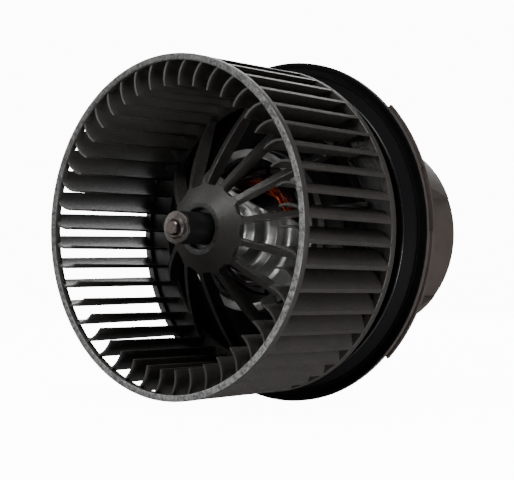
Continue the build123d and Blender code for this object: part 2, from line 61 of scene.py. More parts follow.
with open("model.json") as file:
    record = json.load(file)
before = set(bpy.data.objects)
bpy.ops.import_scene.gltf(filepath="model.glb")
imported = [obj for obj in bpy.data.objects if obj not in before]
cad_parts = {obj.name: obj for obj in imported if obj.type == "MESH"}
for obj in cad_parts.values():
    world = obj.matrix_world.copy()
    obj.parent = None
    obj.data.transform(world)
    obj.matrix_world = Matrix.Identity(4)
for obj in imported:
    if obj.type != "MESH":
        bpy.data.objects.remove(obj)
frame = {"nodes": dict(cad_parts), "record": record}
cad_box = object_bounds()

MM = 0.001
SHARP_EDGE = radians(40)
ROTOR = "rotor"
HOUSING = "housing"

wheel_low, wheel_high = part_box("fan_wheel")
sleeve_low, sleeve_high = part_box("hub_sleeve")
cap_low, cap_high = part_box("retaining_cap")
core_low, core_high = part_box("armature_core")
winding_low, winding_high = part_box("armature_windings")
plate_low, plate_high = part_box("front_end_plate")


# Kinds of setting

def length(name, note, default):
    """A length in metres."""
    return FloatProperty(name=name, description=note, default=default, unit="LENGTH", subtype="DISTANCE",
                         precision=5)


def angle(name, note, default):
    """An angle, given in degrees."""
    return FloatProperty(name=name, description=note, default=radians(default), subtype="ANGLE")


def share(name, note, default):
    """A number from 0 to 1."""
    return FloatProperty(name=name, description=note, default=default, subtype="FACTOR", min=0.0, max=1.0)


def number(name, note, default):
    """How many there are."""
    return IntProperty(name=name, description=note, default=default, min=1)


def power(name, note, default):
    """A lamp's power in watts."""
    return FloatProperty(name=name, description=note, default=default, unit="POWER", min=0.0)


def colour(name, note, default):
    """A colour as linear red, green and blue."""
    return FloatVectorProperty(name=name, description=note, default=default, subtype="COLOR", size=3,
                               min=0.0, max=1.0)


def spot(name, note, default):
    """A place in the object's frame, in metres."""
    return FloatVectorProperty(name=name, description=note, default=default, subtype="TRANSLATION",
                               unit="LENGTH", precision=5)


class WheelSizes(bpy.types.PropertyGroup):
    """Sizes of the moulded fan wheel"""

    blade_count: number("Blades", "Number of blades round the wheel", 46)
    blade_depth: length("Blade Depth", "Radial depth of a blade", 13.5 * MM)
    blade_thickness: length("Blade Thickness", "Thickness at the middle of a blade", 1.1 * MM)
    blade_draft: share("Blade Draft", "A blade is thicker at the rear by this share", 0.16)
    blade_slimming: share("Blade Slimming", "A blade's inner edge is thinner by this share", 0.25)
    blade_heel: share("Blade Heel", "Rounding of the inner edge, as a share of the thickness", 0.3)
    blade_arc: length("Blade Curve", "Radius of a blade's section", 12.4 * MM)
    blade_lean: angle("Blade Lean", "Lean of a blade's inner edge", 12.0)
    blade_skew: angle("Blade Skew", "Turn of a blade's outer edge from front to rear", 0.8)
    blade_setback: length("Blade Setback", "Blades start this far behind the front ring's face", 0.8 * MM)
    blade_inset: length("Blade Inset", "Blades end this far inside the wheel's outside", 0.05 * MM)
    taper: length("Wheel Taper", "The wheel's radius is this much smaller at the rear", 1.0 * MM)
    front_ring_depth: length("Front Ring Depth", "Radial depth of the front ring", 3.0 * MM)
    front_ring_length: length("Front Ring Length", "Length of the front ring along the shaft", 3.6 * MM)
    rear_ring_depth: length("Rear Ring Depth", "Radial depth of the rear ring", 3.5 * MM)
    rear_ring_length: length("Rear Ring Length", "Length of the rear ring along the shaft", 3.5 * MM)
    rear_disc_width: length("Rear Disc Width", "Radial width of the disc inside the rear ring", 11.0 * MM)
    rear_disc_thickness: length("Rear Disc Thickness", "Thickness of that disc", 2.0 * MM)
    edge_round: length("Edge Rounding", "Rounding of the mould's outer edges", 0.35 * MM)


class HubSizes(bpy.types.PropertyGroup):
    """Sizes of the wheel's spokes and hub"""

    spoke_count: number("Spokes", "Number of spokes", 13)
    spoke_phase: angle("Spoke Phase", "Angle of the first spoke", 10.5)
    spoke_thickness: length("Spoke Thickness", "Width of a spoke seen from the front", 2.7 * MM)
    spoke_height: length("Spoke Height", "Depth of a spoke along the shaft", 6.0 * MM)
    spoke_bulge: length("Spoke Bulge", "How far a spoke bows towards the front", 2.7 * MM)
    spoke_setback: length("Spoke Setback", "Spoke's outer end in front of the rear disc", 1.6 * MM)
    spoke_root: length("Spoke Root", "Depth of a spoke where it leaves the dome", 5.5 * MM)
    spoke_overlap: length("Spoke Overlap", "Length of a spoke inside the dome and the disc", 2.0 * MM)
    spoke_round: length("Spoke Rounding", "Width of the bevel on a spoke's edges", 0.21 * MM)
    front: length("Hub Front", "Station of the collar's front face", -62.5 * MM)
    rear: length("Hub Rear", "Station of the hub's rear face", -49.0 * MM)
    hub_radius: length("Hub Radius", "Radius of the boss round the sleeve", 10.4 * MM)
    bore_gap: length("Bore Gap", "Gap between the boss and the sleeve", 0.02 * MM)
    recess_radius: length("Recess Radius", "Inner radius of the collar", 9.05 * MM)
    recess_depth: length("Recess Depth", "Depth of the groove inside the collar", 3.0 * MM)
    collar_radius: length("Collar Radius", "Outer radius of the collar", 11.8 * MM)
    collar_round: length("Collar Rounding", "Rounding of the collar's lip", 0.6 * MM)
    collar_step: length("Collar Step", "The collar's foot is wider than its lip by this much", 0.4 * MM)
    # The collar's lighter lip is a painted highlight.
    lip_highlight_depth: length("Lip Depth", "Depth of the collar's lighter lip", 0.25 * MM)
    foot_round: length("Foot Rounding", "Rounding of the small edges of the collar and the dome", 0.3 * MM)
    boss_round: length("Boss Rounding", "Rounding of the boss's rear edge", 0.5 * MM)
    dome_lap: length("Dome Lap", "The dome runs this far into the collar", 0.3 * MM)
    dome_radius: length("Dome Radius", "Radius at which the slots between the spokes begin", 19.5 * MM)
    dome_skirt: length("Dome Skirt", "Dome beyond that radius, beside the slots", 1.3 * MM)
    dome_drop: length("Dome Drop", "How far the umbrella falls back to the slots", 4.3 * MM)
    dome_thickness: length("Dome Thickness", "Wall of the umbrella", 2.4 * MM)
    slot_corner: length("Slot Corner Radius", "Radius of a slot's two inner corners", 1.2 * MM)
    slot_side_gap: length("Slot Side Gap", "A slot's side lies this far from the spoke's line", 0.1 * MM)


class FrontSizes(bpy.types.PropertyGroup):
    """Sizes of the sleeve and the cap on the shaft's front end"""

    shaft_radius: length("Shaft Radius", "Radius of the shaft", 3.25 * MM)
    shaft_gap: length("Shaft Gap", "Gap round the shaft", 0.02 * MM)
    sleeve_chamfer: length("Sleeve Edge", "Rounding of the sleeve's front edge", 0.5 * MM)
    cap_thickness: length("Cap Thickness", "Thickness of the cap's sheet", 0.9 * MM)
    boss_radius: length("Cap Collar Radius", "Outer radius of the cap's raised collar", 4.7 * MM)
    boss_round: length("Cap Rounding", "Rounding of the collar's front edge", 0.5 * MM)
    bend_round: length("Cap Bend", "Rounding of the bend between collar and disc", 0.4 * MM)
    rim_round: length("Cap Rim", "Rounding of the disc's rim and of the bore", 0.35 * MM)
    rib_count: number("Cap Ribs", "Number of pressed ribs on the disc", 6)
    rib_turn: angle("Rib Angle", "Angle of the first rib", 20.0)
    rib_width: length("Rib Width", "Width of a rib", 0.9 * MM)
    rib_height: length("Rib Height", "Height of a rib", 0.25 * MM)
    rib_sink: length("Rib Sink", "A rib's foot lies this deep in the disc", 0.02 * MM)
    rib_start: length("Rib Start", "A rib starts this far outside the collar", 0.7 * MM)
    rib_stop: length("Rib Stop", "A rib stops this far inside the rim", 0.9 * MM)


class MotorSizes(bpy.types.PropertyGroup):
    """Sizes of the motor's end plate and windings"""

    thickness: length("Plate Thickness", "Sheet of the end plate", 1.2 * MM)
    bend: length("Boss Bend", "Rounding of the boss's front edge", 1.8 * MM)
    tower_bend: length("Tower Bend", "Rounding of the tower's front edge", 2.34 * MM)
    hole_radius: length("Shaft Hole", "Radius of the end plate's hole", 4.6 * MM)
    boss_radius: length("Boss Radius", "Radius of the bearing boss", 12.0 * MM)
    tower_radius: length("Tower Radius", "Radius of the tower behind the boss", 19.5 * MM)
    tower_front: length("Tower Front", "Station of the tower's front face", -39.0 * MM)
    flat_radius: length("Flat Radius", "Outer radius of the sunk flat round the tower", 25.0 * MM)
    drop: length("Plate Drop", "The flat stands this far in front of the rim", 2.0 * MM)
    rim_front: length("Rim Front", "Station of the rim's front face", -30.2 * MM)
    edge: length("Plate Edges", "Rounding of the sheet's cut edges", 0.3 * MM)
    foot: length("Plate Feet", "Rounding at the feet of the boss and the tower", 0.6 * MM)
    step_width: length("Step Width", "Flat ring at the tower's foot", 0.8 * MM)
    lap: length("Strap Lap", "The strap runs this far into the tower's foot and the rim", 0.3 * MM)
    locator_edge: length("Locator Edge", "Rounding of the locating rim's end", 0.2 * MM)
    locator_radius: length("Locator Radius", "Radius of the rim that centres the plate", 34.98 * MM)
    window_radius: length("Window Radius", "Outer radius of the two windows", 33.3 * MM)
    strap_half_width: length("Strap Half Width", "Half width of the strap between the windows", 15.1 * MM)
    strap_turn: angle("Strap Angle", "Turn of the strap about the shaft", -24.9)
    lip_radius: length("Lip Radius", "Outer radius of the spigot's rounded lip", 70.2 * MM)
    lip_front: length("Lip Front", "Station of the lip's front", -6.9 * MM)
    lip_width: length("Lip Width", "Width and depth of the lip", 0.99 * MM)
    lip_round: length("Lip Rounding", "Rounding of the lip's edges", 0.45 * MM)
    slot_count: number("Coils", "Number of coils on the armature", 12)
    coil_span: number("Coil Span", "Slots from one side of a coil to the other", 5)
    strands: number("Strands", "Wires seen in each coil", 7)
    wire_radius: length("Wire Radius", "Radius of the enamelled wire", 0.38 * MM)
    wire_spread: length("Wire Spread", "Most that a wire strays from its layer", 0.24 * MM)
    coil_inset: length("Coil Inset", "Wires stay this far inside the windings' outside", 0.6 * MM)
    head_depth: length("Coil Head Depth", "Radial depth of the coil heads", 8.5 * MM)
    base_inset: length("Base Inset", "The base under the wires lies this far inside them", 1.0 * MM)
    base_slope: length("Base Slope", "The base's end is smaller in radius by this much", 0.6 * MM)
    base_round: length("Base Rounding", "Rounding of the base and the slot bundles", 1.0 * MM)
    bundle_depth: length("Bundle Depth", "Radial depth of the wires in a slot", 8.0 * MM)
    bundle_inner: length("Bundle Inner Width", "Width of the wires at the slot's floor", 4.4 * MM)
    bundle_outer: length("Bundle Outer Width", "Width of the wires at the slot's mouth", 3.2 * MM)
    bundle_reach: length("Bundle Reach", "The bundles stand this far out of the core", 0.5 * MM)


class StudioSettings(bpy.types.PropertyGroup):
    """Camera, lights and floor"""

    azimuth: angle("Azimuth", "Camera's angle round the object", 40.503)
    elevation: angle("Elevation", "Camera's angle above the horizon", -0.859)
    roll: angle("Roll", "Camera's turn about its own axis", 0.770)
    position: spot("Position", "Camera's place", (0.46923, -0.57254, -0.01516))
    lens: FloatProperty(name="Lens", description="Focal length", default=110.47, unit="CAMERA")
    surround: share("Surround", "Strength of the pale surround", 0.12)
    floor_glow: FloatProperty(name="Floor Glow", description="Strength of the floor's own light",
                              default=13.0)
    floor_radius: length("Floor Radius", "Radius of the flat part of the floor", 1.6)
    floor_bend: length("Floor Bend", "Radius of the curve that turns the floor up", 0.8)
    floor_height: length("Floor Height", "Height of the wall that the floor ends in", 4.0)
    floor_colour: colour("Floor", "Colour of the floor and backdrop", (0.93, 0.93, 0.93))
    front_place: spot("Front Lamp", "Place of the soft box in front", (0.05, -1.10, 0.85))
    front_power: power("Front Power", "Power of the soft box in front", 4.0)
    left_place: spot("Left Lamp", "Place of the soft box at the left", (-0.95, -0.58, 0.36))
    left_power: power("Left Power", "Power of the soft box at the left", 6.0)
    right_place: spot("Right Lamp", "Place of the soft box at the right", (1.1, -0.12, -0.42))
    right_power: power("Right Power", "Power of the soft box at the right", 16.0)
    bounce_place: spot("Bounce", "Place of the light that the floor throws back", (0.45, -0.25, -0.90))
    bounce_power: power("Bounce Power", "Power of the light that the floor throws back", 3.5)
    above_place: spot("Upper Lamp", "Place of the soft box above", (0.35, -0.45, 0.85))
    above_power: power("Upper Power", "Power of the soft box above", 10.0)
    behind_place: spot("Rear Lamp", "Place of the light that the backdrop throws back", (-0.60, 0.95, 0.55))
    behind_power: power("Rear Power", "Power of the light that the backdrop throws back", 7.0)


class FinishPlaces(bpy.types.PropertyGroup):
    """Where a finish changes on its piece, painted shade and painted highlight among them"""

    # In front of this station the holder carries painted shade.
    holder_shade_station: length("Holder Black", "The holder is black in front of this station", 0.6 * MM)
    rim_wall: length("Rim Wall", "The flange's light outer wall starts at this radius", 78.9 * MM)
    # The band between these two stations is a painted highlight on the can's side.
    can_highlight_front: length("Can Band Front", "Station where the can's rubbed band starts", -25.0 * MM)
    can_highlight_rear: length("Can Band Rear", "Station where the can's rubbed band ends", -20.5 * MM)


class FinishColours(bpy.types.PropertyGroup):
    """Colours of the materials"""

    wheel: colour("Wheel Plastic", "Black glass-filled plastic of the wheel", (0.0165, 0.015, 0.0135))
    # Scuffed grey of the ring face; it also makes the painted light on the ring face and the collar's painted
    # highlight.
    ring_wear_and_light: colour("Ring Face", "Lighter, mottled face of the front ring", (0.215, 0.215, 0.212))
    holder: colour("Holder Plastic", "Warm dark grey plastic of the holder", (0.052, 0.044, 0.040))
    seal: colour("Seal Rubber", "Black rubber of the seal", (0.004, 0.004, 0.0045))
    sleeve: colour("Sleeve Plastic", "Smooth black plastic of the sleeve", (0.006, 0.006, 0.0065))
    cap: colour("Cap Steel", "Dull steel of the retaining cap", (0.14, 0.125, 0.115))
    shaft: colour("Shaft Steel", "Ground steel of the shaft", (0.14, 0.113, 0.104))
    can: colour("Can Steel", "Zinc-plated steel of the end plate", (0.78, 0.78, 0.76))
    core: colour("Core Steel", "Oiled sheet of the armature core", (0.16, 0.15, 0.15))
    copper: colour("Copper", "Enamelled copper wire", (0.75, 0.09, 0.02))
    # Dark colour of the coil binding, also the painted shade on the coil wires.
    varnish_and_shade: colour("Varnish", "Dark varnish on the armature", (0.020, 0.008, 0.005))
    brass: colour("Brass", "Brass of the brush boxes", (0.62, 0.44, 0.16))
    bronze: colour("Bronze", "Sintered bronze of the bushes", (0.34, 0.22, 0.11))
    washer: colour("Washer Plastic", "Amber plastic of the thrust washers", (0.42, 0.30, 0.14))
    commutator: colour("Commutator Copper", "Bare copper of the commutator", (0.62, 0.27, 0.13))
    ferrite: colour("Ferrite", "Dark grey ferrite of the magnets", (0.045, 0.045, 0.05))
    carbon: colour("Carbon", "Carbon of the brushes", (0.03, 0.03, 0.032))
    board: colour("Card Board", "Brown pressed board of the brush card", (0.16, 0.075, 0.03))
    tin: colour("Tinned Brass", "Tinned brass of the terminals", (0.62, 0.60, 0.55))


# Shader expressions

class Field:
    """A socket's value. Sums on it add their Math nodes to the material."""

    def __init__(self, finish, output):
        self.finish = finish
        self.output = output

    def maths(self, operation, first, second):
        """Adds the Math node for two values."""
        return self.finish.add("ShaderNodeMath", {"operation": operation}, {0: first, 1: second})

    def __add__(self, other):
        return self.maths("ADD", self, other)

    def __sub__(self, other):
        return self.maths("SUBTRACT", self, other)

    def __mul__(self, other):
        return self.maths("MULTIPLY", self, other)

    def __truediv__(self, other):
        return self.maths("DIVIDE", self, other)

    def __pow__(self, other):
        return self.maths("POWER", self, other)

    def __radd__(self, other):
        return self.maths("ADD", other, self)

    def __rsub__(self, other):
        return self.maths("SUBTRACT", other, self)

    def __rmul__(self, other):
        return self.maths("MULTIPLY", other, self)

    def __rtruediv__(self, other):
        return self.maths("DIVIDE", other, self)

    def __rpow__(self, other):
        return self.maths("POWER", other, self)

    def __gt__(self, other):
        return self.maths("GREATER_THAN", self, other)

    def __lt__(self, other):
        return self.maths("LESS_THAN", self, other)

    def at_least(self, other):
        """The greater of the two values."""
        return self.maths("MAXIMUM", self, other)


finishes = {}


class Finish:
    """One material, kept in finishes: its surface shader and the method that adds any other node."""

    def __init__(self, name, **surface):
        self.material = finishes[name] = bpy.data.materials.new(name)
        self.material.use_nodes = True
        self.tree = self.material.node_tree
        self.shader = self.tree.nodes["Principled BSDF"]
        for socket, value in surface.items():
            self.feed(self.shader.inputs[socket.replace("_", " ")], value)

    def feed(self, socket, value):
        """Links a field to a socket, or sets the socket's own value."""
        if isinstance(value, Field):
            self.tree.links.new(value.output, socket)
        elif socket.type == "RGBA":
            socket.default_value = (*value[:3], 1.0)
        else:
            socket.default_value = value

    def add(self, kind, settings=None, values=None, output=0):
        """Adds a node with its settings and the values or links of its sockets."""
        node = self.tree.nodes.new(kind)
        for name, value in (settings or {}).items():
            if name == "stops":
                for element, (place, shade) in zip(node.color_ramp.elements, value):
                    element.position, element.color = place, (shade, shade, shade, 1.0)
            else:
                setattr(node, name, value)
        for name, value in (values or {}).items():
            self.feed(node.inputs[name], value)
        return Field(self, node.outputs[output])

    def place(self):
        """The piece's own coordinates, in metres."""
        return self.add("ShaderNodeTexCoord", output="Object")

    def noise(self, scale, detail=3.0, roughness=0.6, at=None):
        """Noise from 0 to 1, with its scale in spots per metre."""
        values = {"Vector": at or self.place(), "Scale": scale, "Detail": detail, "Roughness": roughness}
        return self.add("ShaderNodeTexNoise", values=values)

    def stretched(self, scale):
        """Coordinates scaled by a different amount along each axis."""
        return self.add("ShaderNodeVectorMath", {"operation": "MULTIPLY"}, {0: self.place(), 1: scale})

    def ramp(self, value, low, high):
        """0 below low and 1 above high."""
        return self.add("ShaderNodeValToRGB", {"stops": ((low, 0.0), (high, 1.0))}, {"Fac": value})

    def mix(self, factor, first, second):
        """The first colour at 0 and the second at 1."""
        return self.add("ShaderNodeMix", {"data_type": "RGBA"}, {0: factor, 6: first, 7: second}, output=2)

    def axes(self):
        """The X, Y and Z values of the piece's own coordinates."""
        place = self.place()
        return [self.add("ShaderNodeSeparateXYZ", values={0: place}, output=axis) for axis in "XYZ"]

    def round_shaft(self):
        """Distance from the shaft's axis and station along it."""
        x, y, z = self.axes()
        return (x ** 2.0 + z ** 2.0) ** 0.5, y

    def rings(self, scale):
        """Fine lines that run round the shaft."""
        radius, station = self.round_shaft()
        at = self.add("ShaderNodeCombineXYZ", values={0: radius, 1: station, 2: 0.0})
        return self.noise(scale, 2.0, 0.5, at=at)

    def bump(self, height, depth):
        """Raises the surface by a height of 0 to 1, depth metres at 1."""
        normal = self.add("ShaderNodeBump", values={"Height": height, "Distance": depth})
        self.feed(self.shader.inputs["Normal"], normal)

    def vary(self, socket, value):
        """Lets a value change over the surface."""
        self.feed(self.shader.inputs[socket], value)


def toned(shade, amount):
    """The same shade, lighter by an amount above 1 and darker by one below 1."""
    return tuple(min(1.0, c * amount) for c in shade)


# Finishes

def moulded_plastic(name, shade):
    """Glass-filled plastic: a mottled skin with a fine grain, faint flow marks and a satin surface."""
    finish = Finish(name, Base_Color=shade, Specular_IOR_Level=0.6)
    fine = finish.noise(1900.0, 4.0, 0.7)
    broad = finish.noise(90.0, 3.0)
    fibres = finish.ramp(fine, 0.42, 0.68)
    skin = finish.mix(finish.ramp(broad, 0.3, 0.75), toned(shade, 0.75), toned(shade, 1.25))
    finish.vary("Base Color", finish.mix(fibres * 0.5, skin, toned(shade, 3.2)))
    worn = finish.ramp(finish.noise(1200.0, 4.0, 0.7), 0.42, 0.62)
    finish.vary("Roughness", 0.26 + 0.26 * worn + 0.1 * fine)
    finish.bump(fine * 0.6 + worn * 0.4, 0.06 * MM)


def holder_plastic(name, shade, dark, edge, rim):
    """The holder: warm grey plastic, with painted shade: black in front of a station and inside the rim's
    wall, where it lies in the shadow behind the wheel.
    """
    finish = Finish(name, Base_Color=shade, Specular_IOR_Level=0.035)
    radius, station = finish.round_shaft()
    # Painted shade: black in front of the station and inside the rim's wall.
    behind = (station > edge).at_least(radius > rim)
    fine = finish.noise(1500.0, 4.0, 0.7)
    broad = finish.noise(60.0, 3.0)
    skin = finish.mix(finish.ramp(broad, 0.3, 0.75), toned(shade, 0.85), toned(shade, 1.15))
    finish.vary("Base Color", finish.mix(behind, dark, skin))
    finish.vary("Roughness", 0.55 + 0.08 * broad - behind * (0.19 - 0.12 * fine))
    finish.bump(fine * 0.6 + finish.noise(500.0, 3.0) * 0.4, 0.04 * MM)


def worn_and_shaded_ring(name, shade, face):
    """The front ring's face: the same plastic, scuffed to a mottled grey, with painted light and shade:
    lighter towards +X and -Z, darker towards -X and +Z.
    """
    finish = Finish(name, Base_Color=shade, Specular_IOR_Level=0.5)
    x, _, z = finish.axes()
    # Painted light and shade: the scuffed grey shows most towards +X and -Z, least towards -X and +Z.
    side = finish.ramp(0.5 + x * 3.0 - z * 4.0, 0.1, 0.95)
    mottle = finish.noise(620.0, 5.0, 0.75)
    cloud = finish.noise(240.0, 4.0, 0.65)
    wear = finish.ramp(mottle * 0.85 + cloud * 0.25, 0.46, 0.64)
    scuffed = finish.mix(wear, toned(face, 0.3), toned(face, 1.5))
    finish.vary("Base Color", finish.mix(0.35 + 0.65 * side, shade, scuffed))
    finish.vary("Roughness", 0.62 - 0.2 * wear)
    finish.bump(mottle, 0.12 * MM)


def smooth_plastic(name, shade, gloss=0.22):
    """Plain plastic with a polished skin and faint clouds in its gloss."""
    finish = Finish(name, Base_Color=shade, Specular_IOR_Level=0.5)
    broad = finish.noise(60.0, 2.0)
    finish.vary("Roughness", gloss + 0.12 * broad)
    finish.bump(finish.noise(900.0, 2.0), 0.01 * MM)


def seal_rubber(name, shade):
    """Soft rubber: dull and cloudy, with a fine grain."""
    finish = Finish(name, Base_Color=shade, Specular_IOR_Level=0.03)
    fine = finish.noise(1500.0, 3.0)
    cloud = finish.noise(45.0, 3.0)
    finish.vary("Base Color", finish.mix(cloud, toned(shade, 0.8), toned(shade, 1.6)))
    finish.vary("Roughness", 0.32 + 0.22 * cloud)
    finish.bump(fine, 0.03 * MM)


def drawn_steel(name, shade, gloss=0.24, band=None):
    """Pressed and plated sheet: faint drawing lines round the shaft and cloudy plating.

    A band of (first station, last station, shade) is painted in another shade, as a painted highlight.
    """
    finish = Finish(name, Base_Color=shade, Metallic=1.0)
    lines = finish.rings(4200.0)
    cloud = finish.noise(110.0, 4.0, 0.6)
    skin = finish.mix(finish.ramp(cloud, 0.25, 0.8), toned(shade, 0.7), shade)
    # Painted highlight: the band takes the lighter shade.
    if band:
        first, last, bright = band
        _, station = finish.round_shaft()
        skin = finish.mix((station > first) * (station < last), skin, bright)
    finish.vary("Base Color", skin)
    finish.vary("Roughness", gloss + 0.16 * cloud + 0.06 * lines)
    finish.bump(lines, 0.012 * MM)


def turned_steel(name, shade, gloss=0.25, depth=0.03 * MM):
    """Turned metal with fine rings round the shaft."""
    finish = Finish(name, Base_Color=shade, Metallic=1.0)
    lines = finish.rings(6500.0)
    spots = finish.noise(900.0, 4.0, 0.7)
    finish.vary("Base Color", finish.mix(finish.ramp(spots, 0.35, 0.7), toned(shade, 0.6), shade))
    finish.vary("Roughness", gloss + 0.2 * spots)
    finish.bump(lines, depth)


def stacked_sheet(name, shade):
    """The armature core: thin sheets stacked along the shaft, with an oily film."""
    finish = Finish(name, Base_Color=shade, Metallic=0.8)
    _, station = finish.round_shaft()
    half_sheet = 0.25 * MM
    sheets = finish.add("ShaderNodeMath", {"operation": "PINGPONG"}, {0: station, 1: half_sheet}) / half_sheet
    stain = finish.noise(160.0, 4.0)
    finish.vary("Base Color", finish.mix(stain, toned(shade, 0.5), toned(shade, 1.5)))
    finish.vary("Roughness", 0.34 + 0.25 * stain)
    finish.bump(sheets, 0.06 * MM)


def enamelled_copper(name, shade, varnish_and_shade):
    """Copper wire with painted light and shade: bright copper only on the side towards +X and +Z and within
    about 24 mm of the shaft, a dark colour everywhere else.
    """
    finish = Finish(name, Base_Color=shade, Metallic=0.9, Coat_Weight=0.6, Coat_Roughness=0.12)
    x, _, z = finish.axes()
    radius, _ = finish.round_shaft()
    tone = finish.noise(300.0, 3.0)
    # Painted light: bright copper only towards +X and +Z and near the shaft.
    near = finish.ramp((x * 0.6 + z * 0.8) * 30.0 + tone * 0.25, 0.54, 0.64)
    far = finish.ramp(radius * 20.0 + tone * 0.1, 0.47, 0.53)
    # The mask called thin is the painted lit part; the rest takes the painted shade colour.
    thin = near * (1.0 - far)
    wire = finish.mix(finish.ramp(tone, 0.3, 0.7), toned(shade, 0.35), toned(shade, 1.3))
    finish.vary("Base Color", finish.mix(thin, varnish_and_shade, wire))
    finish.vary("Metallic", 0.2 + 0.7 * thin)
    finish.vary("Roughness", 0.22 + 0.2 * tone)
    finish.bump(finish.noise(1800.0, 2.0), 0.02 * MM)


def sintered(name, shade, metallic=0.7):
    """Pressed powder: fine pits all over."""
    finish = Finish(name, Base_Color=shade, Metallic=metallic)
    pits = finish.noise(3800.0, 5.0, 0.8)
    skin = finish.mix(finish.ramp(pits, 0.35, 0.65), toned(shade, 0.6), toned(shade, 1.15))
    finish.vary("Base Color", skin)
    finish.vary("Roughness", 0.5 + 0.2 * pits)
    finish.bump(pits, 0.05 * MM)


def pressed_board(name, shade):
    """Board pressed from woven sheets, with the weave faint in its skin."""
    finish = Finish(name, Base_Color=shade, Specular_IOR_Level=0.4)
    weave = finish.noise(1.0, 3.0, 0.6, at=finish.stretched((500.0, 500.0, 2400.0)))
    finish.vary("Base Color", finish.mix(weave, toned(shade, 0.7), toned(shade, 1.25)))
    finish.vary("Roughness", 0.45 + 0.2 * weave)
    finish.bump(weave, 0.03 * MM)


def folded_brass(name, shade, gloss=0.28):
    """Folded sheet brass with stains."""
    finish = Finish(name, Base_Color=shade, Metallic=1.0)
    stain = finish.noise(260.0, 4.0, 0.65)
    finish.vary("Base Color", finish.mix(finish.ramp(stain, 0.3, 0.75), toned(shade, 0.65), shade))
    finish.vary("Roughness", gloss + 0.2 * stain)
    finish.bump(finish.noise(2000.0, 2.0), 0.01 * MM)


def make_finishes(colours, places):
    """Makes the materials, those of the record's slots under the slots' names."""
    # The can's band: a painted highlight in a lighter copy of its steel.
    band = (places.can_highlight_front, places.can_highlight_rear, toned(colours.can, 1.5))
    moulded_plastic("wheel_plastic", colours.wheel)
    # The ring face: real scuffing, with painted light and shade across it.
    worn_and_shaded_ring("ring_face", colours.wheel, colours.ring_wear_and_light)
    # The collar's lip: a painted highlight in a lighter scuffed finish.
    worn_and_shaded_ring("collar_lip_highlight", colours.wheel, toned(colours.ring_wear_and_light, 0.12))
    # The seal's black also serves as the painted shade on the holder's front.
    holder_plastic("holder_plastic", colours.holder, colours.seal, places.holder_shade_station, places.rim_wall)
    seal_rubber("seal_rubber", colours.seal)
    seal_rubber("isolator_rubber", toned(colours.seal, 1.8))
    smooth_plastic("sleeve_plastic", colours.sleeve)
    smooth_plastic("washer_plastic", colours.washer, 0.4)
    turned_steel("cap_steel", colours.cap, 0.34, 0.02 * MM)
    turned_steel("shaft_steel", colours.shaft, 0.2, 0.04 * MM)
    # The can is the end plate's steel toned far darker: painted shade for the dark inside of the wheel.
    drawn_steel("can_steel", toned(colours.can, 0.22), band=band)
    drawn_steel("plated_steel", colours.can, 0.22)
    drawn_steel("spring_steel", toned(colours.can, 0.6), 0.3)
    stacked_sheet("core_steel", colours.core)
    # The coil wires carry painted light and shade.
    enamelled_copper("copper", colours.copper, colours.varnish_and_shade)
    smooth_plastic("coil_binding", colours.varnish_and_shade, 0.3)
    turned_steel("commutator_copper", colours.commutator, 0.3)
    sintered("sintered_bronze", colours.bronze)
    sintered("ferrite", colours.ferrite, 0.1)
    sintered("carbon", colours.carbon, 0.2)
    pressed_board("card_board", colours.board)
    folded_brass("box_brass", colours.brass)
    folded_brass("tinned_brass", colours.tin, 0.3)


class BLOWER_OT_finishes(bpy.types.Operator):
    """Makes the materials"""

    bl_idname = "blower.finishes"
    bl_label = "Finishes"

    def execute(self, context):
        make_finishes(context.scene.blower_colours, context.scene.blower_places)
        return {"FINISHED"}


class BLOWER_OT_clad(bpy.types.Operator):
    """Gives every carried-over node the finish of its material slot"""

    bl_idname = "blower.clad"
    bl_label = "Carried-over Nodes"

    def execute(self, context):
        for row in frame["record"]["subparts"]:
            mesh = frame["nodes"][row["node"]].data
            mesh.materials.clear()
            mesh.materials.append(finishes[row["material_slot"]])
        return {"FINISHED"}


# Mesh helpers

def new_piece(name, mesh, body, slot, finish=None, replaced=()):
    """Links a mesh as a piece that rides on a body and wears a finish."""
    piece = bpy.data.objects.new(name, mesh)
    bpy.context.scene.collection.objects.link(piece)
    mesh.materials.append(finishes[finish or slot])
    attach(piece, body)
    if replaced:
        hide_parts(*replaced)
    return piece


def mesh_of(name, points, faces, smooth=True):
    """A mesh that is shaded smooth, apart from its sharp edges, or flat."""
    mesh = bpy.data.meshes.new(name)
    mesh.from_pydata(points, [], faces)
    mesh.validate()
    mesh.polygons.foreach_set("use_smooth", [smooth] * len(mesh.polygons))
    mesh.update()
    if smooth:
        mesh.set_sharp_from_angle(angle=SHARP_EDGE)
    return mesh


def polar(radius, station, turn):
    """A point at a radius and a station along the shaft, turned from +X towards +Z."""
    return Vector((radius * cos(turn), station, radius * sin(turn)))


def rounded(corners, default=0.0, steps=3):
    """A closed profile of (radius, station[, rounding]) corners, rounded as far as its sides allow."""
    longest = 0.45
    count = len(corners)
    points = []
    for i, corner in enumerate(corners):
        here = Vector(corner[:2])
        before, after = Vector(corners[i - 1][:2]), Vector(corners[(i + 1) % count][:2])
        size = corner[2] if len(corner) > 2 else default
        back, ahead = before - here, after - here
        size = min(size, longest * back.length, longest * ahead.length)
        if size <= 0:
            points.append(tuple(here))
            continue
        start, end = here + back.normalized() * size, here + ahead.normalized() * size
        for k in range(steps + 1):
            t = k / steps
            points.append(tuple(start * (1 - t) ** 2 + here * 2 * t * (1 - t) + end * t ** 2))
    return points


def lathe(name, profile, steps=128):
    """Turns a closed profile of (radius, station) points round the shaft."""
    turns = [tau * k / steps for k in range(steps)]
    return mesh_of(name, *around([[polar(r, y, turn) for r, y in profile] for turn in turns]))


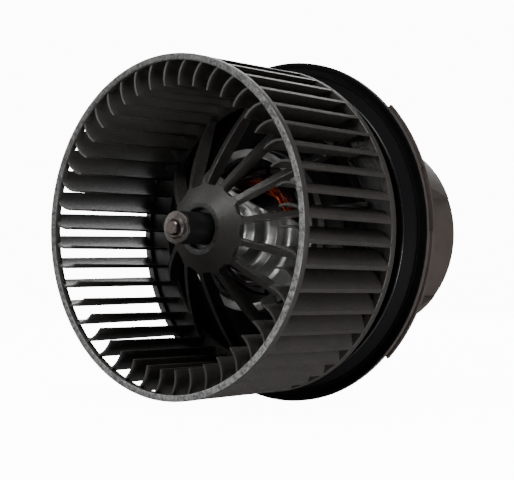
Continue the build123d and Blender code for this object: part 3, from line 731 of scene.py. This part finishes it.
def around(loops):
    """Points and faces through equal loops of points, the last joined to the first."""
    count = len(loops[0])
    faces = []
    for k in range(len(loops)):
        low, high = k * count, (k + 1) % len(loops) * count
        for i in range(count):
            j = (i + 1) % count
            faces.append((low + i, high + i, high + j, low + j))
    return [p for loop in loops for p in loop], faces


def copies(points, faces, count, first=0.0):
    """Repeats points and faces evenly round the shaft."""
    all_points, all_faces = [], []
    for k in range(count):
        spin = Matrix.Rotation(-(first + tau * k / count), 3, "Y")
        shift = len(all_points)
        all_points += [spin @ Vector(p) for p in points]
        all_faces += [tuple(i + shift for i in f) for f in faces]
    return all_points, all_faces


def loft(loops):
    """Points and faces through equal loops of points, with both ends closed."""
    count = len(loops[0])
    points = [p for loop in loops for p in loop]
    faces = []
    for k in range(len(loops) - 1):
        low, high = k * count, (k + 1) * count
        for i in range(count):
            j = (i + 1) % count
            faces.append((low + i, low + j, high + j, high + i))
    faces.append(tuple(range(count))[::-1])
    faces.append(tuple(range(len(points) - count, len(points))))
    return points, faces


def outward(piece):
    """Turns the mesh's faces outwards."""
    shape = bmesh.new()
    shape.from_mesh(piece.data)
    bmesh.ops.recalc_face_normals(shape, faces=shape.faces)
    shape.to_mesh(piece.data)
    shape.free()
    return piece


# Fan wheel

def blade_section(sizes, outer, thick):
    """Loop of (x, z) points round a blade's curved section, cut flush at a radius."""
    inner = wheel_high.x - sizes.blade_depth
    lean, bend = sizes.blade_lean, sizes.blade_arc
    centre = Vector((inner + bend * sin(lean), -bend * cos(lean)))
    start = pi / 2 + lean
    steps, slim_part = 12, 1 / 3
    sides = []
    for sign in (1, -1):
        curve = bend + sign * thick / 2
        cosine = (outer ** 2 - centre.length_squared - curve ** 2) / (2 * centre.length * curve)
        end = atan2(centre.y, centre.x) + acos(max(-1.0, min(1.0, cosine)))
        side = []
        for k in range(steps + 1):
            t = k / steps
            turn = start + (end - start) * t
            slim = sign * thick / 2 * sizes.blade_slimming * max(0.0, 1 - t / slim_part) ** 2
            side.append(centre + (curve - slim) * Vector((cos(turn), sin(turn))))
        sides.append(side)
    front, back = sides
    heel = (front[0] + back[0]) / 2 + (front[0] - front[1]).normalized() * thick * sizes.blade_heel
    return front + back[::-1] + [heel]


def twisted(section, inner, outer, turn):
    """Turns a section's outer end by an angle, and the rest by less towards the inner end."""
    points = []
    for p in section:
        part = max(0.0, (p.length - inner) / (outer - inner))
        points.append(Matrix.Rotation(turn * part, 2) @ p)
    return points


class BLOWER_OT_blades(bpy.types.Operator):
    """Builds the ring of curved blades"""

    bl_idname = "blower.blades"
    bl_label = "Blades"

    def execute(self, context):
        sizes = context.scene.blower_wheel
        front = wheel_low.y + sizes.blade_setback
        rear = wheel_high.y - sizes.rear_disc_thickness / 2
        whole = wheel_high.y - wheel_low.y
        inner = wheel_high.x - sizes.blade_depth
        steps, loops, first = 4, [], None
        for k in range(steps + 1):
            t = k / steps
            station = front + (rear - front) * t
            outer = wheel_high.x - sizes.blade_inset - sizes.taper * (station - wheel_low.y) / whole
            section = blade_section(sizes, outer, sizes.blade_thickness * (1 + sizes.blade_draft * (t - 0.5)))
            tip = section[len(section) // 2]
            turn = atan2(tip.y, tip.x)
            first = turn if first is None else first
            section = twisted(section, inner, outer, first - turn - sizes.blade_skew * t)
            loops.append([Vector((p.x, station, p.y)) for p in section])
        points, faces = copies(*loft(loops), sizes.blade_count)
        outward(new_piece("wheel_blades", mesh_of("wheel_blades", points, faces), ROTOR, "wheel_plastic",
                          replaced=["fan_wheel"]))
        return {"FINISHED"}


class BLOWER_OT_rings(bpy.types.Operator):
    """Builds the wheel's front ring, its scuffed face with painted light and shade, and the rear ring with
    its disc
    """

    bl_idname = "blower.rings"
    bl_label = "Wheel Rings"

    def execute(self, context):
        sizes = context.scene.blower_wheel
        edge = sizes.edge_round
        outer, front = wheel_high.x, wheel_low.y
        inner, back = outer - sizes.front_ring_depth, front + sizes.front_ring_length
        profile = rounded([(inner, front, 2 * edge), (outer, front), (outer, back), (inner, back)], edge)
        ring = outward(new_piece("wheel_front_ring", lathe("wheel_front_ring", profile, 256), ROTOR,
                                 "wheel_plastic"))
        ring.data.materials.append(finishes["ring_face"])
        facing_front = -0.6
        for face in ring.data.polygons:
            face.material_index = int(face.normal.y < facing_front)
        outer, back = wheel_high.x - sizes.taper, wheel_high.y
        bore, front = outer - sizes.rear_ring_depth, back - sizes.rear_ring_length
        disc_bore, disc_front = bore - sizes.rear_disc_width, back - sizes.rear_disc_thickness
        profile = rounded([(bore, front), (outer, front), (outer, back), (disc_bore, back),
                           (disc_bore, disc_front), (bore, disc_front)], edge)
        outward(new_piece("wheel_rear_ring", lathe("wheel_rear_ring", profile, 256), ROTOR, "wheel_plastic"))
        return {"FINISHED"}


def dome_station(sizes, radius):
    """Station of the dome's front face at a radius."""
    width = sizes.dome_radius - sizes.collar_radius
    return sizes.front + sizes.dome_drop * (radius - sizes.collar_radius) / width


def through(first, middle, last, steps):
    """Points on the circle arc through three points."""
    a, b, c = (Vector(p) for p in (first, middle, last))
    sides = ((a, b - c), (b, c - a), (c, a - b))
    area = 2 * sum(p.x * side.y for p, side in sides)
    centre = Vector((sum(p.length_squared * side.y for p, side in sides),
                     -sum(p.length_squared * side.x for p, side in sides))) / area
    turns = [atan2(*(p - centre).yx) for p in (a, b, c)]
    span = turns[2] - turns[0]
    if (turns[1] - turns[0]) * span < 0 or abs(turns[1] - turns[0]) > abs(span):
        span -= tau if span > 0 else -tau
    radius = (a - centre).length
    return [centre + radius * Vector((cos(turns[0] + span * k / steps), sin(turns[0] + span * k / steps)))
            for k in range(steps + 1)]


class BLOWER_OT_spokes(bpy.types.Operator):
    """Builds the curved spokes between the dome and the rear disc"""

    bl_idname = "blower.spokes"
    bl_label = "Spokes"

    def execute(self, context):
        sizes, wheel = context.scene.blower_hub, context.scene.blower_wheel
        rear_radius = wheel_high.x - wheel.taper
        disc_bore = rear_radius - wheel.rear_ring_depth - wheel.rear_disc_width
        inner, outer = sizes.dome_radius - sizes.spoke_overlap, disc_bore + sizes.spoke_overlap
        start = dome_station(sizes, inner)
        end = wheel_high.y - wheel.rear_disc_thickness - sizes.spoke_setback
        root = start + sizes.spoke_root
        middle = Vector(((inner + outer) / 2, (start + end) / 2 - sizes.spoke_bulge))
        back = middle + Vector((-sizes.spoke_overlap, sizes.spoke_height))
        steps = 20
        front_edge = through((inner, start), middle, (outer, end), steps)
        rear_edge = through((inner, root), back, (outer, wheel_high.y), steps)
        half, edge = sizes.spoke_thickness / 2, sizes.spoke_round
        loops = []
        for near, far in zip(front_edge, rear_edge):
            across = (far - near).normalized() * edge
            side = [(near, half - edge), (near + across, half), (far - across, half), (far, half - edge)]
            section = [(p, -z) for p, z in side] + side[::-1]
            loops.append([Vector((p.x, p.y, z)) for p, z in section])
        points, faces = copies(*loft(loops), sizes.spoke_count, sizes.spoke_phase)
        mesh = mesh_of("wheel_spokes", points, faces, False)
        outward(new_piece("wheel_spokes", mesh, ROTOR, "wheel_plastic"))
        return {"FINISHED"}


class BLOWER_OT_hub(bpy.types.Operator):
    """Builds the umbrella-shaped dome with its collar and the boss behind it"""

    bl_idname = "blower.hub"
    bl_label = "Hub Dome"

    def execute(self, context):
        sizes = context.scene.blower_hub
        skirt = sizes.dome_radius + sizes.dome_skirt
        floor = sizes.front + sizes.recess_depth
        web = floor + sizes.collar_round + sizes.dome_thickness
        bore = sleeve_high.x + sizes.bore_gap
        soft, foot = sizes.collar_round, sizes.collar_radius + sizes.collar_step
        profile = rounded([(bore, floor, 0.0), (sizes.recess_radius, floor),
                           (sizes.recess_radius, sizes.front, soft), (sizes.collar_radius, sizes.front, soft),
                           (foot, sizes.front + soft), (foot, web), (sizes.hub_radius, web, soft),
                           (sizes.hub_radius, sizes.rear, sizes.boss_round), (bore, sizes.rear, 0.0)],
                          sizes.foot_round)
        hub = outward(new_piece("wheel_hub", lathe("wheel_hub", profile, 160), ROTOR, "wheel_plastic"))
        # Painted highlight: the collar's front lip takes the lighter scuffed finish.
        hub.data.materials.append(finishes["collar_lip_highlight"])
        for face in hub.data.polygons:
            face.material_index = int(face.center.y < sizes.front + sizes.lip_highlight_depth)
        rings = 8
        inner = sizes.collar_radius - sizes.dome_lap
        loops = []
        for turn, edge in self.outline(sizes, skirt):
            radii = [inner + (edge - inner) * i / rings for i in range(rings + 1)]
            outside = [polar(radius, dome_station(sizes, radius), turn) for radius in radii]
            inside = [p + Vector((0, sizes.dome_thickness, 0)) for p in outside]
            loops.append(outside + inside[::-1])
        mesh = mesh_of("wheel_dome", *around(loops))
        dome = outward(new_piece("wheel_dome", mesh, ROTOR, "wheel_plastic"))
        bevel = dome.modifiers.new("rounded edges", "BEVEL")
        bevel.width, bevel.segments, bevel.harden_normals = sizes.foot_round, 2, True
        bevel.limit_method, bevel.angle_limit = "ANGLE", radians(50)
        return {"FINISHED"}

    def outline(self, sizes, skirt):
        """Turn and radius of the dome's edge, all round, with a slot between each two spokes."""
        pitch = tau / sizes.spoke_count
        start, corner = sizes.dome_radius, sizes.slot_corner
        side = start * sin(pitch / 2) - sizes.spoke_thickness / 2 - sizes.slot_side_gap
        half = [(start, 0.0), (start, (side - corner) / 2), (start, side - corner)]
        steps, land_steps = 4, 3
        for k in range(1, steps):
            turn = pi / 2 * k / steps
            half.append((start + corner * (1 - cos(turn)), side - corner + corner * sin(turn)))
        half.append((sqrt(skirt ** 2 - side ** 2), side))
        slot = [(atan2(z, x), sqrt(x * x + z * z)) for x, z in half]
        land = slot[-1][0]
        slot += [(land + (pitch / 2 - land) * k / land_steps, skirt) for k in range(1, land_steps)]
        whole = [(-turn, radius) for turn, radius in slot[:0:-1]] + slot + [(pitch / 2, skirt)]
        for k in range(sizes.spoke_count):
            middle = sizes.spoke_phase + pitch * (k + 0.5)
            yield from ((middle + turn, radius) for turn, radius in whole)


# Front end of the shaft

class BLOWER_OT_front(bpy.types.Operator):
    """Builds the sleeve with its rounded edge and the cap with its collar and ribs"""

    bl_idname = "blower.front"
    bl_label = "Sleeve and Cap"

    def execute(self, context):
        sizes = context.scene.blower_front
        bore = sizes.shaft_radius + sizes.shaft_gap
        outer, front, rear = sleeve_high.x, sleeve_low.y, sleeve_high.y
        profile = rounded([(bore, front), (outer, front, sizes.sleeve_chamfer), (outer, rear), (bore, rear)])
        outward(new_piece("shaft_sleeve", lathe("shaft_sleeve", profile, 96), ROTOR, "sleeve_plastic",
                          replaced=["hub_sleeve"]))
        outer, front, rear = cap_high.x, cap_low.y, cap_high.y
        sheet = rear - sizes.cap_thickness
        boss, rim = sizes.boss_radius, sizes.rim_round
        profile = rounded([(bore, front, rim), (boss, front, sizes.boss_round),
                           (boss, sheet, sizes.bend_round), (outer, sheet, rim), (outer, rear), (bore, rear)])
        outward(new_piece("cap_disc", lathe("cap_disc", profile, 96), ROTOR, "cap_steel",
                          replaced=["retaining_cap"]))
        first, last = boss + sizes.rib_start, outer - sizes.rib_stop
        steps, root, wide = 6, sheet + sizes.rib_sink, sizes.rib_width
        loops = []
        for k in range(steps + 1):
            t = k / steps
            radius, crest = first + (last - first) * t, sheet - sizes.rib_height * sin(pi * t) ** 0.5
            section = ((root, -wide / 2), (crest, -wide / 4), (crest, wide / 4), (root, wide / 2))
            loops.append([Vector((radius, station, z)) for station, z in section])
        points, faces = copies(*loft(loops), sizes.rib_count, sizes.rib_turn)
        outward(new_piece("cap_ribs", mesh_of("cap_ribs", points, faces), ROTOR, "cap_steel"))
        return {"FINISHED"}


# Motor

def strap_grid(name, sizes, middle, radii, station, thick):
    """The plate's sheet across one half of the strap, from the tower out to the rim."""
    columns = 14
    rows = []
    for radius in radii:
        half = asin(sizes.strap_half_width / radius)
        rows.append([middle + half * (2 * k / columns - 1) for k in range(columns + 1)])
    points, faces = [], []
    for shift in (0.0, thick):
        for radius, turns in zip(radii, rows):
            points += [polar(radius, station(radius) + shift, turn) for turn in turns]
    width = columns + 1
    layer = width * len(radii)
    for i in range(len(radii) - 1):
        for k in range(columns):
            a = i * width + k
            faces.append((a, a + 1, a + width + 1, a + width))
            faces.append(tuple(v + layer for v in (a, a + width, a + width + 1, a + 1)))
        for a in (i * width, i * width + columns):
            faces.append((a, a + width, a + width + layer, a + layer))
    for a in (*range(columns), *range(layer - width, layer - 1)):
        faces.append((a, a + layer, a + layer + 1, a + 1))
    return mesh_of(name, points, faces)


def trim_sides(piece, turn, half):
    """Cuts the piece along two planes beside the shaft and closes the cuts."""
    shape = bmesh.new()
    shape.from_mesh(piece.data)
    for side in (1, -1):
        away = side * Vector((-sin(turn), 0, cos(turn)))
        cut = bmesh.ops.bisect_plane(shape, geom=shape.verts[:] + shape.edges[:] + shape.faces[:],
                                     plane_co=away * half, plane_no=away, clear_outer=True)
        edges = [e for e in cut["geom_cut"] if isinstance(e, bmesh.types.BMEdge)]
        made = bmesh.ops.holes_fill(shape, edges=edges)
        bmesh.ops.triangulate(shape, faces=made["faces"])
        for face in made["faces"]:
            if face.is_valid:
                face.smooth = False
    shape.to_mesh(piece.data)
    shape.free()


class BLOWER_OT_end_plate(bpy.types.Operator):
    """Builds the stamped end plate: tower, boss, strap and rim"""

    bl_idname = "blower.end_plate"
    bl_label = "End Plate"

    def execute(self, context):
        sizes = context.scene.blower_motor
        t = sizes.thickness
        boss_front, step = plate_low.y, sizes.rim_front - sizes.drop
        boss, tower, out = sizes.boss_radius, sizes.tower_radius, sizes.tower_radius + sizes.step_width
        walls = [(boss, boss_front, sizes.bend), (boss, sizes.tower_front, sizes.foot),
                 (tower, sizes.tower_front, sizes.tower_bend), (tower, step, sizes.foot)]
        hole = sizes.hole_radius
        front = [(hole, boss_front, sizes.edge), *walls, (out, step)]
        back = [(hole, boss_front + t), *((r - t, y + t) for r, y, _ in walls), (out, step + t)]
        profile = rounded(front + back[::-1])
        shell = new_piece("plate_tower", lathe("plate_tower", profile, 128), HOUSING, "plated_steel",
                          replaced=["front_end_plate"])
        trim_sides(shell, sizes.strap_turn, sizes.strap_half_width)
        outward(shell)
        rim, rear = plate_high.x, sizes.rim_front + t
        inner, locator = sizes.window_radius, sizes.locator_radius
        face, tip = (sizes.rim_front, sizes.edge), (plate_high.y, sizes.locator_edge)
        profile = rounded([(inner, *face), (rim, *face), (rim, rear), (locator, rear), (locator, *tip),
                           (locator - t, *tip), (locator - t, rear), (inner, rear)])
        outward(new_piece("plate_rim", lathe("plate_rim", profile, 128), HOUSING, "plated_steel"))
        flat, slope, steps = sizes.flat_radius, sizes.drop, 6

        def station(radius):
            rise = min(1.0, max(0.0, (radius - flat) / slope))
            return step + sizes.drop * rise * rise * (3 - 2 * rise)

        bent = [flat + slope * k / steps for k in range(steps + 1)]
        radii = [out - sizes.lap, (out + flat) / 2, *bent, inner + sizes.lap]
        for name, turn in (("plate_strap_right", 0.0), ("plate_strap_left", pi)):
            mesh = strap_grid(name, sizes, sizes.strap_turn + turn, radii, station, t)
            outward(new_piece(name, mesh, HOUSING, "plated_steel"))
        return {"FINISHED"}


class BLOWER_OT_spigot_lip(bpy.types.Operator):
    """Rounds the front edge of the holder's spigot with a smooth lip"""

    bl_idname = "blower.spigot_lip"
    bl_label = "Spigot Lip"

    def execute(self, context):
        sizes = context.scene.blower_motor
        outer, front, soft = sizes.lip_radius, sizes.lip_front, sizes.lip_round
        inner, rear = outer - sizes.lip_width, front + sizes.lip_width
        profile = rounded([(inner, front), (outer, front), (outer, rear), (inner, rear)], soft, 5)
        mesh = lathe("spigot_lip", profile, 256)
        outward(new_piece("spigot_lip", mesh, HOUSING, "holder_plastic", "sleeve_plastic"))
        return {"FINISHED"}


def tube(path, radius, sides=6):
    """Loops of points round a path, for a wire of the given radius."""
    loops = []
    for i, point in enumerate(path):
        ahead = (path[min(i + 1, len(path) - 1)] - path[max(i - 1, 0)]).normalized()
        side = ahead.cross(point.normalized()).normalized()
        over = ahead.cross(side)
        loops.append([point + radius * (cos(tau * k / sides) * side + sin(tau * k / sides) * over)
                      for k in range(sides)])
    return loops


class BLOWER_OT_windings(bpy.types.Operator):
    """Winds the armature's coils from single wires over a bound core"""

    bl_idname = "blower.windings"
    bl_label = "Windings"

    def execute(self, context):
        sizes = context.scene.blower_motor
        outer = winding_high.x - sizes.coil_inset
        inner = outer - sizes.head_depth
        ends = (("coil_base_front", core_low.y, winding_low.y),
                ("coil_base_rear", core_high.y, winding_high.y))
        chance = Random(7)
        points, faces = [], []
        for _, face, end in ends:
            for coil in range(sizes.slot_count):
                for strand in range(sizes.strands):
                    path = self.wire(sizes, chance, coil, strand, outer, inner, face, end)
                    shift = len(points)
                    more, sides = loft(tube(path, sizes.wire_radius))
                    points += more
                    faces += [tuple(v + shift for v in f) for f in sides]
        outward(new_piece("coil_wires", mesh_of("coil_wires", points, faces), ROTOR, "copper",
                          replaced=["armature_windings"]))
        low, high = inner - sizes.base_inset, outer - sizes.base_inset
        for name, face, end in ends:
            middle = (face + end) / 2
            profile = rounded([(low, face), (high, face), (high - sizes.base_slope, middle), (low, middle)],
                              sizes.base_round)
            outward(new_piece(name, lathe(name, profile, 72), ROTOR, "copper", "coil_binding"))
        floor, narrow, wide = outer - sizes.bundle_depth, sizes.bundle_outer / 2, sizes.bundle_inner / 2
        bar = rounded([(floor, -wide), (outer, -narrow), (outer, narrow), (floor, wide)], sizes.base_round)
        stations = (core_low.y - sizes.bundle_reach, core_high.y + sizes.bundle_reach)
        loops = [[Vector((r, y, z)) for r, z in bar] for y in stations]
        points, faces = copies(*loft(loops), sizes.slot_count, tau / sizes.slot_count / 2)
        outward(new_piece("slot_bundles", mesh_of("slot_bundles", points, faces), ROTOR, "copper"))
        return {"FINISHED"}

    def wire(self, sizes, chance, coil, strand, outer, inner, face, end):
        """Path of one wire over the coil heads, from the core's face towards the windings' end."""
        way = 1 if end > face else -1
        reach = abs(end - face) - sizes.wire_radius
        layer = strand / (sizes.strands - 1)
        steps, heights, lowest, shallowest = 14, 12, 0.45, 0.15
        rank = (coil * 5 + strand * 3) % heights / (heights - 1)
        height = reach * (lowest + (1 - lowest) * rank)
        depth = (outer - inner) * (shallowest + (1 - shallowest) * layer)
        slot_part, sway = 0.34, 0.1
        start = tau * (coil + slot_part * (chance.random() - 0.5)) / sizes.slot_count
        sweep = tau * sizes.coil_span / sizes.slot_count + sway * (chance.random() - 0.5)
        path = []
        for k in range(steps + 1):
            t = k / steps
            bow = sin(pi * t)
            radius = outer - depth * bow ** 0.7 - sizes.wire_spread * chance.random()
            station = face + way * height * min(1.0, bow * 2.2) ** 0.6
            path.append(polar(radius, station, start + sweep * t))
        return path


# Studio

def soft_box(name, place, aim, watts, width, height):
    """A white area lamp that faces a point."""
    data = bpy.data.lights.new(name, "AREA")
    data.shape, data.size, data.size_y = "RECTANGLE", width, height
    data.energy = watts
    lamp = bpy.data.objects.new(name, data)
    lamp.location = place
    lamp.rotation_mode = "QUATERNION"
    lamp.rotation_quaternion = (Vector(aim) - Vector(place)).to_track_quat("-Z", "Y")
    bpy.context.scene.collection.objects.link(lamp)


class BLOWER_OT_stage(bpy.types.Operator):
    """Sets up the camera, the lights and the pale floor with its backdrop"""

    bl_idname = "blower.stage"
    bl_label = "Stage"

    def execute(self, context):
        studio = context.scene.blower_studio
        self.camera(context, studio)
        self.floor(studio)
        world = bpy.data.worlds.new("white_surround")
        world.use_nodes = True
        background = world.node_tree.nodes["Background"].inputs
        background["Color"].default_value = (1.0, 1.0, 1.0, 1.0)
        background["Strength"].default_value = studio.surround
        context.scene.world = world
        middle, side, belly = (0, 0, 0), (0.03, 0, 0), (0.02, -0.02, 0)
        crown, wheel = (0, -0.02, 0), (0, -0.03, 0)
        soft_box("box_front", studio.front_place, wheel, studio.front_power, width=0.45, height=0.35)
        soft_box("box_left", studio.left_place, wheel, studio.left_power, width=0.6, height=0.9)
        soft_box("box_right", studio.right_place, side, studio.right_power, width=0.5, height=0.5)
        soft_box("bounce_floor", studio.bounce_place, belly, studio.bounce_power, width=0.7, height=0.5)
        soft_box("box_above", studio.above_place, crown, studio.above_power, width=0.6, height=0.5)
        soft_box("bounce_backdrop", studio.behind_place, middle, studio.behind_power, width=0.9, height=0.6)
        return {"FINISHED"}

    def camera(self, context, studio):
        """The camera at the photograph's place and angle."""
        data = bpy.data.cameras.new("photo_camera")
        data.lens, data.sensor_width, data.sensor_fit = studio.lens, 36.0, "HORIZONTAL"
        data.clip_start, data.clip_end = 0.01, 20.0
        camera = bpy.data.objects.new("photo_camera", data)
        turn, rise = studio.azimuth, studio.elevation
        back = Vector((sin(turn) * cos(rise), -cos(turn) * cos(rise), sin(rise)))
        camera.location = studio.position
        camera.rotation_mode = "QUATERNION"
        level = (-back).to_track_quat("-Z", "Y")
        camera.rotation_quaternion = level @ Quaternion((0, 0, 1), studio.roll)
        context.scene.collection.objects.link(camera)
        context.scene.camera = camera

    def floor(self, studio):
        """A round sheet under the object that curves up on every side."""
        level, steps, bend_steps = cad_box[0].z, 96, 12
        path = [(MM, level)]
        for k in range(bend_steps + 1):
            turn = pi / 2 * k / bend_steps
            path.append((studio.floor_radius + studio.floor_bend * sin(turn),
                         level + studio.floor_bend * (1 - cos(turn))))
        path.append((path[-1][0], level + studio.floor_height))
        count = len(path)
        turns = [tau * k / steps for k in range(steps)]
        points = [Vector((r * cos(turn), r * sin(turn), z)) for turn in turns for r, z in path]
        faces = []
        for k in range(steps):
            low, high = k * count, (k + 1) % steps * count
            faces += [(low + i, high + i, high + i + 1, low + i + 1) for i in range(count - 1)]
        mesh = mesh_of("floor", points, faces)
        finish = Finish("floor", Base_Color=studio.floor_colour, Roughness=0.9, Specular_IOR_Level=0.1,
                        Emission_Strength=studio.floor_glow)
        tone = finish.mix(finish.noise(3.0, 2.0), toned(studio.floor_colour, 0.985), studio.floor_colour)
        finish.vary("Base Color", tone)
        finish.vary("Emission Color", tone)
        sheet = bpy.data.objects.new("floor", mesh)
        sheet.visible_diffuse = sheet.visible_glossy = sheet.visible_shadow = False
        bpy.context.scene.collection.objects.link(sheet)
        mesh.materials.append(finish.material)


# The steps in their order

STEPS = (BLOWER_OT_finishes, BLOWER_OT_clad, BLOWER_OT_blades, BLOWER_OT_rings, BLOWER_OT_spokes,
         BLOWER_OT_hub, BLOWER_OT_front, BLOWER_OT_end_plate, BLOWER_OT_spigot_lip, BLOWER_OT_windings,
         BLOWER_OT_stage)


class BLOWER_PT_panel(bpy.types.Panel):
    """Lists the steps that build the blower motor"""

    bl_idname = "BLOWER_PT_panel"
    bl_label = "Blower Motor"
    bl_space_type = "VIEW_3D"
    bl_region_type = "UI"
    bl_category = "Blower"

    def draw(self, context):
        for step in STEPS:
            self.layout.operator(step.bl_idname)


GROUPS = {"blower_wheel": WheelSizes, "blower_hub": HubSizes, "blower_front": FrontSizes,
          "blower_motor": MotorSizes, "blower_studio": StudioSettings, "blower_places": FinishPlaces,
          "blower_colours": FinishColours}


def register():
    """Registers the settings, the steps and the panel."""
    for kind in (*GROUPS.values(), *STEPS, BLOWER_PT_panel):
        bpy.utils.register_class(kind)
    for name, group in GROUPS.items():
        setattr(bpy.types.Scene, name, PointerProperty(type=group))


def unregister():
    """Takes the settings, the steps and the panel out again."""
    for name in GROUPS:
        delattr(bpy.types.Scene, name)
    for kind in (BLOWER_PT_panel, *reversed(STEPS), *reversed(GROUPS.values())):
        bpy.utils.unregister_class(kind)


def main():
    """Builds everything in order."""
    register()
    for step in STEPS:
        group, name = step.bl_idname.split(".")
        getattr(getattr(bpy.ops, group), name)()


if __name__ == "__main__":
    main()
